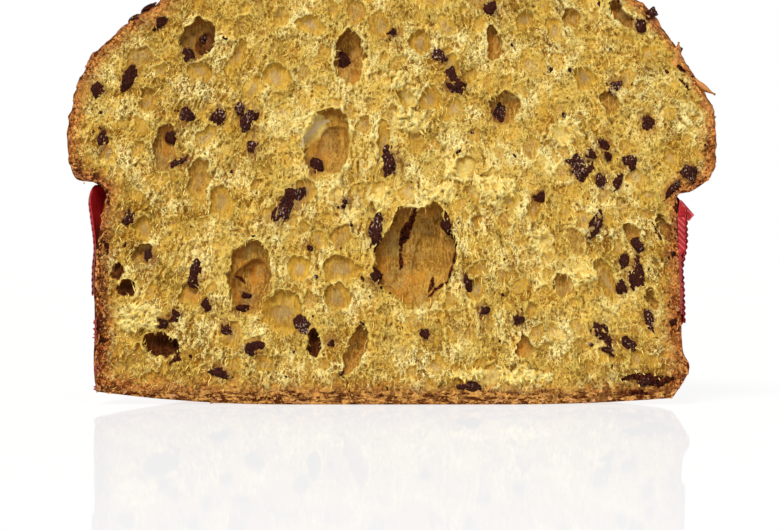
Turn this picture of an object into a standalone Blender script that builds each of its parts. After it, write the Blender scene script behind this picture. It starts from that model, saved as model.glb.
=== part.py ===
"""Half of a round chocolate panettone in its red paper case, cut through the middle.

The cut face looks along -Y, the dome is up and the loaf stands on z = 0. The
origin is on the flat of the base, under the middle of the half. Outlines and
lists of features are in millimetres, and MM turns them into metres.
"""

import math
import random

import bmesh
import bpy
from mathutils import Euler, Matrix, Vector, noise

MM = 0.001

# Driving dimensions of the loaf, in millimetres
CUT_Y = -50.0            # plane of the cut, which holds the loaf's axis
CRUST = 4.5              # thickness of the crust at the cut
BAND_STEPS = 30          # steps round the half turn, from the right of the cut to the left
RINGS_PER_LANDMARK = 2   # rings between two landmarks of the outline
MANY_SHAPES = "MANIFOLD"  # solver, since the exact one leaves open edges here
SEED = 1919

# The two halves of the cut's outline, as distance from the axis and height above
# the table. Both pass the same places in the same order, so that the wall can
# change from the one into the other behind the cut.
OUTLINE_RIGHT = (
    (96.5, 2.2),     # rim of the base
    (102.2, 12.0),   # foot
    (99.9, 20.0),    # lower wall
    (99.0, 46.0),    # middle of the wall
    (98.1, 66.0),    # waist
    (98.6, 71.0),    # corner under the lip, where the case ends
    (103.2, 72.2),   # underside of the lip
    (109.6, 77.8),   # lip
    (111.0, 88.0),   # widest
    (110.2, 99.0),   # shoulder
    (105.9, 106.5),
    (102.4, 113.5),
    (98.0, 120.4),
    (92.8, 127.5),
    (87.6, 134.6),
    (71.5, 144.6),
    (46.0, 152.8),
    (20.0, 157.2),
    (0.0, 158.0),    # top of the dome
)
OUTLINE_LEFT = (
    (98.4, 4.4),
    (99.2, 13.0),
    (98.9, 26.0),
    (98.9, 48.0),
    (95.9, 66.6),
    (95.4, 72.0),
    (100.2, 75.6),
    (105.6, 76.8),
    (107.9, 88.0),
    (107.0, 99.4),
    (104.6, 107.6),
    (101.4, 115.0),
    (96.4, 121.2),
    (88.6, 128.4),
    (79.6, 134.6),
    (66.0, 143.4),
    (43.0, 151.8),
    (19.0, 156.8),
    (0.0, 158.0),
)

# The base is flat out to these distances from the axis, and curls up from there
FLAT_RIGHT = 40.0
FLAT_BACK = 86.0
FLAT_LEFT = 32.0
BASE_RINGS = (0.5, 1.0)   # rings on the flat, as shares of its reach
CURL_RINGS = (0.4, 0.8)   # rings on the curl, as shares of the way to the rim

# Unevenness of the baked surface behind the cut
LUMP_SIZE = 30.0
LUMP_HEIGHT = 1.6
CRAG_SIZE = 9.0
CRAG_HEIGHT = 0.6
LUMPS_BEGIN = 0.35       # sine of the angle behind the cut where they reach their full height
WALL_SHARE = 0.25        # share of the lumps that the mould leaves on the wall
WALL_TOP = 73.0
LIP_MIDDLE = 82.0
DOME_CENTRE = 80.0       # height that the lumps of the dome point away from
LOBE_SPREAD = 1.7        # unevenness of the overhanging lip round the half turn
LOBE_HEIGHT = 4.0
LOBES_FADE = 98.0
LOBES_END = 118.0

# Torn relief of the crumb on the cut face
TEAR_STEPS = (29, 21)    # steps across and up the face
TEAR_SIZE = 11.0
TEAR_DEPTH = 2.2
TEAR_SKIN = 0.25         # least depth of the cut face behind CUT_Y
TEAR_FINE = 0.35         # share of the relief that is finer
TEAR_BLOCK = (119.0, 12.0, 90.0)   # half width, thickness and half height of the cutter
TEAR_MIDDLE = 79.0       # height of the cutter's middle

# Open holes of the cut face: x, height of the middle, width, height, lean to the
# right in degrees, and depth into the crumb
HOLES = (
    (9.5, 50.4, 28.0, 35.5, 4, 13.0),
    (-20.3, 87.5, 15.5, 25.7, 10, 8.0),
    (-46.3, 42.6, 14.8, 27.0, 3, 9.0),
    (-63.9, 123.7, 11.2, 14.2, 20, 6.0),
    (-12.5, 117.3, 9.5, 18.6, -2, 7.0),
    (-74.7, 86.5, 7.4, 16.9, 2, 4.0),
    (-63.9, 75.7, 8.1, 16.2, 4, 3.0),
    (-15.5, 45.6, 13.5, 9.5, 8, 4.0),
    (-16.9, 36.2, 10.1, 10.1, 0, 4.0),
    (-35.5, 30.8, 14.0, 16.0, 30, 4.5),
    (-10.8, 18.3, 6.1, 18.6, 22, 6.0),
    (-76.7, 19.9, 12.2, 8.1, 25, 6.0),
    (-24.7, 21.0, 4.4, 10.0, -4, 5.0),
    (-88.6, 40.2, 6.4, 7.4, 0, 4.5),
    (-82.8, 50.7, 6.1, 8.1, 12, 4.0),
    (-82.8, 60.2, 6.1, 10.1, 6, 4.0),
    (-66.9, 36.8, 7.4, 8.1, 16, 3.5),
    (-55.8, 68.3, 8.5, 11.8, 8, 3.0),
    (-37.5, 110.9, 10.1, 8.8, 16, 3.0),
    (-25.7, 128.4, 10.8, 7.4, 12, 3.0),
    (-51.0, 117.3, 5.1, 15.2, 28, 3.5),
    (-63.2, 112.6, 9.5, 6.4, 24, 3.5),
    (-81.1, 102.4, 6.8, 10.1, 16, 3.5),
    (36.5, 122.4, 6.1, 11.8, -6, 5.0),
    (39.9, 100.0, 10.1, 11.8, -12, 4.0),
    (11.5, 122.4, 6.8, 9.5, -6, 3.5),
    (6.4, 103.4, 6.8, 7.4, -4, 3.0),
    (14.9, 103.4, 7.4, 8.1, -4, 3.0),
    (-1.0, 88.6, 5.1, 15.2, 0, 3.5),
    (26.7, 80.1, 6.1, 7.4, -6, 3.0),
    (30.4, 61.5, 3.4, 4.1, 0, 3.0),
    (50.0, 66.3, 5.1, 12.2, 30, 3.5),
    (46.6, 19.6, 4.7, 8.8, -6, 4.0),
    (59.8, 40.2, 6.8, 7.4, -16, 3.0),
    (30.4, 38.5, 6.1, 9.5, 0, 3.5),
    (75.0, 41.2, 6.1, 16.9, -24, 5.0),
    (89.2, 36.8, 4.1, 8.5, -14, 4.0),
    (82.8, 58.1, 5.4, 8.1, -18, 3.5),
    (94.0, 57.1, 4.4, 9.5, -22, 3.5),
    (79.1, 131.8, 5.4, 12.2, -38, 4.5),
    (76.0, 102.1, 6.8, 8.1, -26, 3.5),
    (67.3, 110.5, 7.4, 8.1, -26, 3.5),
    (62.5, 130.8, 6.8, 6.8, -20, 3.0),
    (46.6, 130.1, 6.8, 6.8, -12, 3.0),
    (-29.7, 45.9, 8.1, 8.8, 14, 3.0),
    (-35.5, 41.2, 5.4, 7.4, 14, 3.0),
    (-27.7, 72.0, 7.4, 9.5, 8, 3.0),
)

SMALL_HOLE = 9.0         # holes up to this height have few sides
GREAT_HOLE = 30.0        # holes above this height have many
HOLE_SUNK = 1.0          # how far a hole's middle lies behind CUT_Y
HOLE_UNEVEN = 0.1

# Chocolate in the cut face: x, height of the middle, width, height and lean
CHIPS = (
    (-87.5, 110.5, 3.6, 7.8, 20),
    (-98.0, 106.5, 3.6, 4.4, 0),
    (-77.4, 129.8, 3.4, 5.2, 32),
    (-67.9, 97.0, 4.4, 5.4, 0),
    (-56.8, 97.7, 3.6, 6.8, 8),
    (-48.0, 97.0, 6.8, 9.5, -6),
    (-67.6, 118.0, 3.4, 3.8, 0),
    (-62.2, 124.0, 3.2, 3.4, 0),
    (-72.7, 90.9, 3.4, 4.4, 0),
    (-96.3, 88.6, 3.2, 8.5, 4),
    (-70.0, 82.5, 3.4, 3.8, 0),
    (-45.6, 86.2, 4.4, 4.8, 12),
    (-88.2, 63.5, 3.8, 3.8, 0),
    (-14.9, 115.9, 3.4, 4.4, 0),
    (1.7, 125.0, 3.4, 3.4, 0),
    (17.9, 117.6, 4.1, 4.1, 0),
    (22.6, 108.8, 6.1, 8.1, -8),
    (35.2, 133.8, 4.4, 3.6, 0),
    (37.2, 98.5, 4.4, 7.4, 0),
    (-24.7, 80.8, 4.8, 6.1, 10),
    (-30.8, 69.6, 6.1, 7.8, -24),
    (-35.5, 64.9, 4.8, 9.5, 20),
    (1.4, 82.5, 5.1, 8.5, 6),
    (-3.7, 59.5, 4.1, 9.5, 4),
    (20.6, 60.5, 3.4, 4.4, 0),
    (-4.1, 42.6, 3.8, 5.1, 0),
    (-80.1, 50.7, 3.4, 4.4, 0),
    (-64.6, 43.3, 4.1, 8.8, 6),
    (-76.0, 27.7, 3.6, 3.8, 0),
    (-72.3, 29.7, 3.4, 3.8, 0),
    (-60.8, 33.5, 3.4, 3.8, 0),
    (-54.4, 26.0, 4.1, 4.4, 0),
    (-44.6, 18.9, 5.8, 4.8, 10),
    (-55.8, 11.2, 6.8, 3.6, 6),
    (-28.7, 26.7, 4.1, 5.4, 0),
    (-18.6, 21.3, 3.4, 3.8, 0),
    (12.8, 23.7, 3.4, 3.8, 0),
    (27.0, 41.9, 2.6, 6.8, 0),
    (32.8, 31.4, 3.4, 3.4, 0),
    (44.3, 28.4, 4.8, 3.6, 0),
    (72.3, 24.3, 6.1, 5.4, -20),
    (84.5, 44.3, 4.1, 9.5, -8),
    (80.1, 48.3, 3.2, 4.4, 0),
    (80.1, 38.9, 3.6, 5.1, 0),
    (90.2, 27.0, 4.4, 5.4, -20),
    (83.8, 18.9, 4.8, 3.6, 0),
    (97.0, 28.1, 5.1, 3.6, 0),
    (28.4, 6.1, 6.1, 2.9, 0),
    (86.9, 7.9, 4.8, 3.4, 0),
    (65.9, 80.8, 8.1, 9.5, 8),
    (72.7, 87.9, 4.1, 4.8, 0),
    (74.7, 74.0, 4.4, 6.1, -10),
    (51.7, 70.6, 3.6, 5.1, 24),
    (70.3, 60.5, 4.1, 7.4, 24),
    (77.4, 108.2, 4.4, 4.8, 0),
    (88.2, 96.0, 4.1, 4.8, 0),
    (82.1, 82.0, 3.6, 4.4, 0),
    (85.2, 53.7, 3.6, 4.4, 0),
    (98.4, 76.7, 5.8, 4.1, -10),
    (95.3, 71.3, 4.4, 3.8, 0),
    (85.2, 128.1, 3.4, 5.1, -34),
)
CHIP_DEPTH = 4.6
CHIP_SUNK = 1.0          # how far a chip's middle lies behind CUT_Y
CHIP_UNEVEN = 0.16

# Chocolate baked onto the outside of the dome. Near the cut: x, distance behind the cut,
# height and size. Over the rest: angle round the loaf in degrees, height and size.
RIM_CHIPS = (
    (89.3, 1.2, 132.2, 4.2),
    (-82.6, 3.0, 134.0, 5.0),
    (-86.6, 6.0, 131.4, 4.0),
    (98.6, 4.0, 119.8, 4.4),
)
DOME_CHIPS = (
    (18.0, 121.0, 4.8),
    (30.0, 139.0, 5.2),
    (42.0, 106.0, 4.4),
    (54.0, 128.0, 5.4),
    (66.0, 147.0, 4.6),
    (84.0, 114.0, 5.0),
    (96.0, 136.0, 4.6),
    (108.0, 151.0, 5.0),
    (120.0, 109.0, 4.6),
    (132.0, 142.0, 5.2),
    (150.0, 124.0, 4.8),
    (162.0, 101.0, 4.4),
)

# Flakes of crust that stand off the outline: root x and height, tip x and height,
# width at the root
CRUST_FLAKES = (
    (91.0, 128.6, 96.2, 123.6, 5.0),
    (96.0, 121.0, 99.4, 124.6, 4.0),
    (100.6, 112.6, 110.8, 104.9, 4.6),
    (107.6, 101.2, 111.4, 96.4, 4.0),
)
FLAKE_THICKNESS = 1.4
FLAKE_POINT = 0.3
FLAKE_BURIED = 1.0
FLAKE_ROOT = 2.4         # distances of root and tip behind the cut
FLAKE_TIP = 1.4
FLAKE_STAGGER = 0.5      # each flake lies this much further behind the cut

# Tufts of torn crumb that stand proud of the cut face: x, height, width and height
TUFTS = (
    (5.1, 108.5, 9.0, 6.0),
    (5.4, 97.5, 8.0, 6.0),
    (35.8, 73.0, 12.0, 7.0),
    (66.0, 44.0, 12.0, 7.0),
    (-24.0, 93.0, 6.0, 8.0),
    (-84.0, 29.0, 14.0, 8.0),
    (46.0, 9.5, 18.0, 6.0),
)
TUFT_PROUD = 1.2
TUFT_UNEVEN = 0.22

# The paper case: a band of fluted paper round the wall, torn away low down at both ends
CASE_STEPS = 20
TURN_REACH = 100.0       # distance from the axis at which the band is first turned
CASE_CLEARANCE = 0.5     # from the wall to the band's inner face at the cut
CASE_LOOSE = 0.7         # extra clearance behind the cut, where the wall is uneven
LOOSE_FROM = 0.25        # sine of the angle behind the cut where it is reached
CASE_THICKNESS = 0.5     # flat inner layer
CASE_LOW = 7.0
CASE_TOP = 71.0
FLUTE_PITCH = 2.2        # the flutes run round the band, on its outside
FLUTE_DEPTH = 0.6
FLUTES = round((CASE_TOP - CASE_LOW) / FLUTE_PITCH)
CASE_TOP_LEFT = 73.0     # top of the band at the left of the cut
CASE_TOP_RIGHT = 66.5    # top of the band at the right of the cut
CASE_WALL_RIGHT = ((102.2, 12.0), (99.2, 46.0), (98.3, 71.0))   # distance from the axis, height
CASE_WALL_LEFT = ((99.2, 12.0), (98.9, 48.0), (95.5, 71.0))
CASE_BENDS = (64.5, 47.0, 36.0, 12.0)    # heights where the inner face bends
FLARE_ARC = 9.5          # degrees of the band's ends that spring off the wall
FLARE_LEFT = 3.9
FLARE_RIGHT = 1.1
FLARE_LEFT_RISE = (44.0, 74.0)    # heights between which the left end springs off
FLARE_RIGHT_RISE = (20.0, 50.0)
EAR_REACH = 2.6          # extra flare of the folded corner at the top right
EAR_HEIGHT = 64.5
EAR_SPREAD = 4.0
TEARS = (                # side, height of the tear at the cut, y where it runs out below
    (1.0, 31.0, 36.0),
    (-1.0, 38.0, -22.0),
)
TEAR_TEETH = 18
TEAR_UNEVEN = 1.1
TEAR_INNER = 60.0        # x of the tear cutter's two ends
TEAR_OUTER = 130.0
TEAR_MARGIN = 4.0        # how far it reaches in front of the cut

SHARP_ANGLE = 38.0
CRUMB_COLOUR = (0.60, 0.34, 0.08)
PAPER_COLOUR = (0.36, 0.02, 0.02)


def smoothstep(low, high, value):
    """Return 0 below low, 1 above high, and an even passage between."""
    share = min(1.0, max(0.0, (value - low) / (high - low)))
    return share * share * (3.0 - 2.0 * share)


def spline(points, steps):
    """Return points along a Catmull-Rom curve through points, steps to each stretch."""
    curve = []
    last = len(points) - 1
    for index in range(last):
        before = Vector(points[max(index - 1, 0)])
        start = Vector(points[index])
        end = Vector(points[index + 1])
        after = Vector(points[min(index + 2, last)])
        for step in range(steps):
            t = step / steps
            curve.append(0.5 * (2.0 * start + (end - before) * t
                                + (2.0 * before - 5.0 * start + 4.0 * end - after) * t * t
                                + (3.0 * start - before - 3.0 * end + after) * t ** 3))
    curve.append(Vector(points[last]))
    return curve


def make_collection(name):
    """Return a new collection that is linked to the scene."""
    collection = bpy.data.collections.new(name)
    bpy.context.scene.collection.children.link(collection)
    return collection


def make_material(name, colour, roughness):
    """Return a plain material for one sub-part."""
    material = bpy.data.materials.new(name)
    material.use_nodes = True
    shader = material.node_tree.nodes["Principled BSDF"]
    shader.inputs["Base Color"].default_value = (*colour, 1.0)
    shader.inputs["Roughness"].default_value = roughness
    shader.inputs["Metallic"].default_value = 0.0
    return material


def make_object(name, mesh_data, collection):
    """Turn a bmesh in millimetres into an object in metres and free the bmesh."""
    bmesh.ops.scale(mesh_data, vec=(MM, MM, MM), verts=mesh_data.verts)
    bmesh.ops.recalc_face_normals(mesh_data, faces=mesh_data.faces)
    mesh = bpy.data.meshes.new(name)
    mesh_data.to_mesh(mesh)
    mesh_data.free()
    piece = bpy.data.objects.new(name, mesh)
    collection.objects.link(piece)
    return piece


def hide_cutter(piece):
    """Mark a helper shape as a cutter."""
    piece.hide_render = True
    piece.display_type = "WIRE"


def apply_boolean(body, operation, collection, solver="EXACT"):
    """Cut or join everything in collection with body, then remove those objects."""
    modifier = body.modifiers.new("cut", "BOOLEAN")
    modifier.operation = operation
    modifier.operand_type = "COLLECTION"
    modifier.collection = collection
    modifier.solver = solver
    bpy.context.view_layer.objects.active = body
    bpy.ops.object.modifier_apply(modifier=modifier.name)
    for piece in list(collection.objects):
        bpy.data.objects.remove(piece)
    bpy.data.collections.remove(collection)


def side_share(angle):
    """Return 0 at the right of the cut, 1 at the left, and the passage between."""
    return 0.5 - 0.5 * math.cos(angle)


def flat_reach(angle):
    """Return how far the flat of the base reaches from the axis at an angle."""
    front = FLAT_RIGHT + (FLAT_LEFT - FLAT_RIGHT) * side_share(angle)
    return front + (FLAT_BACK - front) * math.sin(angle) ** 0.7


def wall_point(landmark_right, landmark_left, angle):
    """Return a point of the outer surface, in millimetres, before any lumps."""
    share = side_share(angle)
    flat = landmark_right.lerp(landmark_left, share)
    reach = flat.x
    height = flat.y
    overhang = smoothstep(WALL_TOP + 2.0, LIP_MIDDLE, height)
    overhang *= 1.0 - smoothstep(LOBES_FADE, LOBES_END, height)
    around = Vector((math.cos(angle), math.sin(angle), 0.0))
    reach += LOBE_HEIGHT * overhang * noise.noise(around * LOBE_SPREAD) * math.sin(angle)
    return Vector((reach * math.cos(angle), CUT_Y + reach * math.sin(angle), height))


def lumpy(point, angle):
    """Push a point of the baked surface in or out, except at the cut itself."""
    fade = smoothstep(0.0, LUMPS_BEGIN, math.sin(angle)) * smoothstep(3.0, 9.0, point.z)
    fade *= WALL_SHARE + (1.0 - WALL_SHARE) * smoothstep(WALL_TOP, LIP_MIDDLE, point.z)
    outward = Vector((point.x, point.y - CUT_Y, point.z - DOME_CENTRE)).normalized()
    lump = LUMP_HEIGHT * noise.noise(point / LUMP_SIZE)
    crag = CRAG_HEIGHT * noise.noise(point / CRAG_SIZE)
    return point + outward * fade * (lump + crag)


def surface_rings():
    """Return the rings of the outer surface, from the base to the top of the dome."""
    angles = [math.pi * step / BAND_STEPS for step in range(BAND_STEPS + 1)]
    right = spline(OUTLINE_RIGHT, RINGS_PER_LANDMARK)
    left = spline(OUTLINE_LEFT, RINGS_PER_LANDMARK)
    rings = []
    for share in BASE_RINGS:
        ring = []
        for angle in angles:
            reach = share * flat_reach(angle)
            ring.append(Vector((reach * math.cos(angle), CUT_Y + reach * math.sin(angle), 0.0)))
        rings.append(ring)
    for share in CURL_RINGS:
        ring = []
        for angle in angles:
            rim = wall_point(right[0], left[0], angle)
            edge = rings[len(BASE_RINGS) - 1][len(ring)]
            point = edge.lerp(rim, share)
            point.z = rim.z * share * share
            ring.append(point)
        rings.append(ring)
    for place_right, place_left in zip(right[:-1], left[:-1]):
        ring = [lumpy(wall_point(place_right, place_left, angle), angle) for angle in angles]
        rings.append(ring)
    return rings


def outline_points(rings):
    """Return the outline of the cut as x and height, round from the right of the base."""
    right = [Vector((ring[0].x, ring[0].z)) for ring in rings]
    left = [Vector((ring[-1].x, ring[-1].z)) for ring in rings]
    top = Vector((0.0, OUTLINE_RIGHT[-1][1]))
    return right + [top] + left[::-1]


def build_body(rings, collection):
    """Loft the rings into the closed half loaf, with a plain flat cut face."""
    mesh_data = bmesh.new()
    foot = mesh_data.verts.new((0.0, CUT_Y, 0.0))
    top = mesh_data.verts.new((0.0, CUT_Y, OUTLINE_RIGHT[-1][1]))
    rows = [[mesh_data.verts.new(point) for point in ring] for ring in rings]
    for step in range(BAND_STEPS):
        mesh_data.faces.new((foot, rows[0][step + 1], rows[0][step]))
        mesh_data.faces.new((top, rows[-1][step], rows[-1][step + 1]))
    for lower, upper in zip(rows[:-1], rows[1:]):
        for step in range(BAND_STEPS):
            mesh_data.faces.new((lower[step], lower[step + 1], upper[step + 1], upper[step]))
    rim = [row[0] for row in rows] + [top] + [row[-1] for row in reversed(rows)] + [foot]
    mesh_data.faces.new(rim)
    bmesh.ops.triangulate(mesh_data, faces=mesh_data.faces)
    return make_object("loaf", mesh_data, collection)


def distance_to_outline(x, height, outline):
    """Return how far a point of the cut face is from the nearest outline point."""
    here = Vector((x, height))
    return min((here - place).length for place in outline)


def tear_depth(x, height, outline):
    """Return how far the torn crumb lies behind the plane of the cut."""
    inner = smoothstep(CRUST, 2.0 * CRUST, distance_to_outline(x, height, outline))
    rough = 0.5 + 0.5 * noise.noise(Vector((x, 3.0, height)) / TEAR_SIZE)
    fine = 0.5 + 0.5 * noise.noise(Vector((x, 40.0, height)) * 2.3 / TEAR_SIZE)
    return TEAR_SKIN + TEAR_DEPTH * inner * ((1.0 - TEAR_FINE) * rough + TEAR_FINE * fine)


def add_tear_cutter(outline, cutters):
    """Add the block in front of the cut, whose back is the torn relief."""
    mesh_data = bmesh.new()
    bmesh.ops.create_grid(mesh_data, x_segments=TEAR_STEPS[0], y_segments=TEAR_STEPS[1], size=1.0)
    half_width, thickness, half_height = TEAR_BLOCK
    for vert in mesh_data.verts:
        x = vert.co.x * half_width
        height = TEAR_MIDDLE + vert.co.y * half_height
        vert.co = Vector((x, CUT_Y + tear_depth(x, height, outline), height))
    front = bmesh.ops.extrude_face_region(mesh_data, geom=list(mesh_data.faces))
    for vert in front["geom"]:
        if isinstance(vert, bmesh.types.BMVert):
            vert.co.y = CUT_Y - thickness
    hide_cutter(make_object("tear_cutter", mesh_data, cutters))


def add_hole_cutter(index, hole, cutters):
    """Add the egg-shaped cutter of one open hole."""
    x, height, width, tall, lean, depth = hole
    mesh_data = bmesh.new()
    subdivisions = 1 + (tall > SMALL_HOLE) + (tall > GREAT_HOLE)
    bmesh.ops.create_icosphere(mesh_data, subdivisions=subdivisions, radius=1.0)
    turn = Euler((0.0, math.radians(lean), 0.0)).to_matrix()
    for vert in mesh_data.verts:
        place = vert.co.normalized()
        place *= 1.0 + HOLE_UNEVEN * noise.noise(place * 2.0 + Vector((index, 0.0, 0.0)))
        place = turn @ Vector((place.x * width / 2.0, place.y * depth, place.z * tall / 2.0))
        vert.co = place + Vector((x, CUT_Y + HOLE_SUNK, height))
    hide_cutter(make_object("hole_cutter_%02d" % index, mesh_data, cutters))


def hole_depth(x, height):
    """Return how far the holes set the cut face back at a place."""
    deepest = 0.0
    for hole_x, hole_height, width, tall, lean, depth in HOLES:
        turn = math.radians(lean)
        across = (x - hole_x) * math.cos(turn) - (height - hole_height) * math.sin(turn)
        along = (x - hole_x) * math.sin(turn) + (height - hole_height) * math.cos(turn)
        share = (2.0 * across / width) ** 2 + (2.0 * along / tall) ** 2
        if share < 1.0:
            deepest = max(deepest, depth * math.sqrt(1.0 - share))
    return deepest


def add_lump(name, centre, size, lean, uneven, shapes):
    """Add one rough lump, such as a chip of chocolate or a tuft of crumb."""
    mesh_data = bmesh.new()
    bmesh.ops.create_icosphere(mesh_data, subdivisions=1, radius=1.0)
    turn = Euler((0.0, math.radians(lean), 0.0)).to_matrix()
    for vert in mesh_data.verts:
        place = vert.co.normalized() * (1.0 + uneven * random.uniform(-1.0, 1.0))
        place = Vector((place.x * size[0] / 2.0, place.y * size[1] / 2.0, place.z * size[2] / 2.0))
        vert.co = turn @ place + centre
    return make_object(name, mesh_data, shapes)


def dome_place(rings, degrees, height):
    """Return the place on the dome's skin at an angle round the loaf and a height."""
    step = round(BAND_STEPS * degrees / 180.0)
    column = [ring[step] for ring in rings]
    for lower, upper in zip(column[:-1], column[1:]):
        if upper.z >= height:
            return lower.lerp(upper, (height - lower.z) / (upper.z - lower.z))
    return column[-1]


def add_flake(index, flake, shapes):
    """Add one pointed flake of crust, from its root in the loaf to its free tip."""
    root_x, root_z, tip_x, tip_z, width = flake
    root = Vector((root_x, CUT_Y + FLAKE_ROOT + FLAKE_STAGGER * index, root_z))
    tip = Vector((tip_x, CUT_Y + FLAKE_TIP + FLAKE_STAGGER * index, tip_z))
    along = tip - root
    mesh_data = bmesh.new()
    bmesh.ops.create_cone(mesh_data, cap_ends=True, segments=6, radius1=width / 2.0,
                          radius2=FLAKE_POINT, depth=along.length + 2.0 * FLAKE_BURIED)
    flatten = Matrix.Diagonal((1.0, FLAKE_THICKNESS / width, 1.0))
    turn = along.to_track_quat("Z", "X").to_matrix()
    middle = root + along / 2.0 - along.normalized() * FLAKE_BURIED
    for vert in mesh_data.verts:
        vert.co = turn @ (flatten @ vert.co) + middle
    return make_object("flake_%02d" % index, mesh_data, shapes)


def add_loaf(collection):
    """Make the half loaf: body, torn face, holes, chocolate, tufts and flakes in one solid."""
    rings = surface_rings()
    outline = outline_points(rings)
    body = build_body(rings, collection)

    cutters = make_collection("cutters")
    add_tear_cutter(outline, cutters)
    for index, hole in enumerate(HOLES):
        add_hole_cutter(index, hole, cutters)
    apply_boolean(body, "DIFFERENCE", cutters, MANY_SHAPES)

    shapes = make_collection("fused_shapes")
    for index, (x, height, width, tall, lean) in enumerate(CHIPS):
        centre = Vector((x, CUT_Y + CHIP_SUNK + hole_depth(x, height), height))
        add_lump("chip_%02d" % index, centre, (width, CHIP_DEPTH, tall), lean, CHIP_UNEVEN, shapes)
    for index, (x, behind, height, size) in enumerate(RIM_CHIPS):
        centre = Vector((x, CUT_Y + behind, height))
        add_lump("rim_chip_%02d" % index, centre, (size, size, size), 0.0, CHIP_UNEVEN, shapes)
    for index, (degrees, height, size) in enumerate(DOME_CHIPS):
        centre = dome_place(rings, degrees, height)
        add_lump("dome_chip_%02d" % index, centre, (size, size, size), 0.0, CHIP_UNEVEN, shapes)
    for index, (x, height, width, tall) in enumerate(TUFTS):
        centre = Vector((x, CUT_Y + TEAR_DEPTH, height))
        depth = 2.0 * (TEAR_DEPTH + TUFT_PROUD)
        add_lump("tuft_%02d" % index, centre, (width, depth, tall), 0.0, TUFT_UNEVEN, shapes)
    for index, flake in enumerate(CRUST_FLAKES):
        add_flake(index, flake, shapes)
    apply_boolean(body, "UNION", shapes, MANY_SHAPES)

    body.data.shade_smooth()
    body.data.set_sharp_from_angle(angle=math.radians(SHARP_ANGLE))
    body.data.materials.append(make_material("baked_crumb", CRUMB_COLOUR, 0.75))
    return body


def reach_at(wall, height):
    """Return the distance from the axis at a height on a broken line."""
    if height <= wall[0][1]:
        return wall[0][0]
    for (low_reach, low), (high_reach, high) in zip(wall[:-1], wall[1:]):
        if height <= high:
            return low_reach + (high_reach - low_reach) * (height - low) / (high - low)
    return wall[-1][0]


def case_point(angle, height, offset):
    """Return a point of the band, offset from its inner face."""
    share = side_share(angle)
    right_end = 1.0 - smoothstep(0.0, FLARE_ARC, math.degrees(angle))
    left_end = 1.0 - smoothstep(0.0, FLARE_ARC, 180.0 - math.degrees(angle))
    top = CASE_TOP + (CASE_TOP_RIGHT - CASE_TOP) * right_end
    top += (CASE_TOP_LEFT - CASE_TOP) * left_end
    height = CASE_LOW + (height - CASE_LOW) * (top - CASE_LOW) / (CASE_TOP - CASE_LOW)
    reach = CASE_CLEARANCE + CASE_LOOSE * smoothstep(0.0, LOOSE_FROM, math.sin(angle)) + offset
    reach += (1.0 - share) * reach_at(CASE_WALL_RIGHT, height)
    reach += share * reach_at(CASE_WALL_LEFT, height)
    reach += FLARE_LEFT * left_end * smoothstep(*FLARE_LEFT_RISE, height)
    reach += FLARE_RIGHT * right_end * smoothstep(*FLARE_RIGHT_RISE, height)
    reach += EAR_REACH * right_end * math.exp(-((height - EAR_HEIGHT) / EAR_SPREAD) ** 2)
    return Vector((reach * math.cos(angle), CUT_Y + reach * math.sin(angle), height))


def case_profile():
    """Return the band's cross-section as offset from the inner face and height."""
    rise = (CASE_TOP - CASE_LOW) / FLUTES
    profile = []
    for flute in range(FLUTES):
        height = CASE_LOW + flute * rise
        profile.append((CASE_THICKNESS, height))
        profile.append((CASE_THICKNESS + FLUTE_DEPTH, height + rise / 2.0))
    profile.append((CASE_THICKNESS, CASE_TOP))
    for height in (CASE_TOP,) + CASE_BENDS + (CASE_LOW,):
        profile.append((0.0, height))
    return profile


def add_tear(side, top, back, collection):
    """Add the cutter that tears the band's lower edge away at one side of the cut."""
    mesh_data = bmesh.new()
    front = CUT_Y - TEAR_MARGIN
    edge = []
    for tooth in range(TEAR_TEETH + 1):
        share = tooth / TEAR_TEETH
        y = front + (back - front) * share
        height = top + (CASE_LOW - TEAR_UNEVEN - top) * share
        height += TEAR_UNEVEN * random.uniform(-1.0, 1.0)
        edge.append((y, height))
    corners = edge + [(back, 0.0), (front, 0.0)]
    near = [mesh_data.verts.new((side * TEAR_INNER, y, height)) for y, height in corners]
    cheek = mesh_data.faces.new(near)
    grown = bmesh.ops.extrude_face_region(mesh_data, geom=[cheek])
    for vert in grown["geom"]:
        if isinstance(vert, bmesh.types.BMVert):
            vert.co.x = side * TEAR_OUTER
    hide_cutter(make_object("tear", mesh_data, collection))


def add_case(collection):
    """Make the paper case: a fluted band turned half way round the wall, then torn."""
    mesh_data = bmesh.new()
    section = []
    for offset, height in case_profile():
        section.append(mesh_data.verts.new((TURN_REACH + offset, 0.0, height)))
    start = mesh_data.faces.new(section)
    bmesh.ops.spin(mesh_data, geom=[start] + list(start.edges) + section, cent=(0.0, 0.0, 0.0),
                   axis=(0.0, 0.0, 1.0), angle=math.pi, steps=CASE_STEPS, use_duplicate=False)
    for vert in mesh_data.verts:
        angle = math.atan2(max(vert.co.y, 0.0), vert.co.x)
        offset = vert.co.xy.length - TURN_REACH
        vert.co = case_point(angle, vert.co.z, offset)
    case = make_object("paper_case", mesh_data, collection)
    cutters = make_collection("case_cutters")
    for side, top, back in TEARS:
        add_tear(side, top, back, cutters)
    apply_boolean(case, "DIFFERENCE", cutters, MANY_SHAPES)
    case.data.materials.append(make_material("red_paper", PAPER_COLOUR, 0.55))
    return case


for old in list(bpy.data.objects):
    bpy.data.objects.remove(old)
random.seed(SEED)
panettone = make_collection("chocolate_panettone_half")
add_loaf(panettone)
add_case(panettone)
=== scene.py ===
import math

import bpy
import numpy as np
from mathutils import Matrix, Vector, noise


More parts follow.
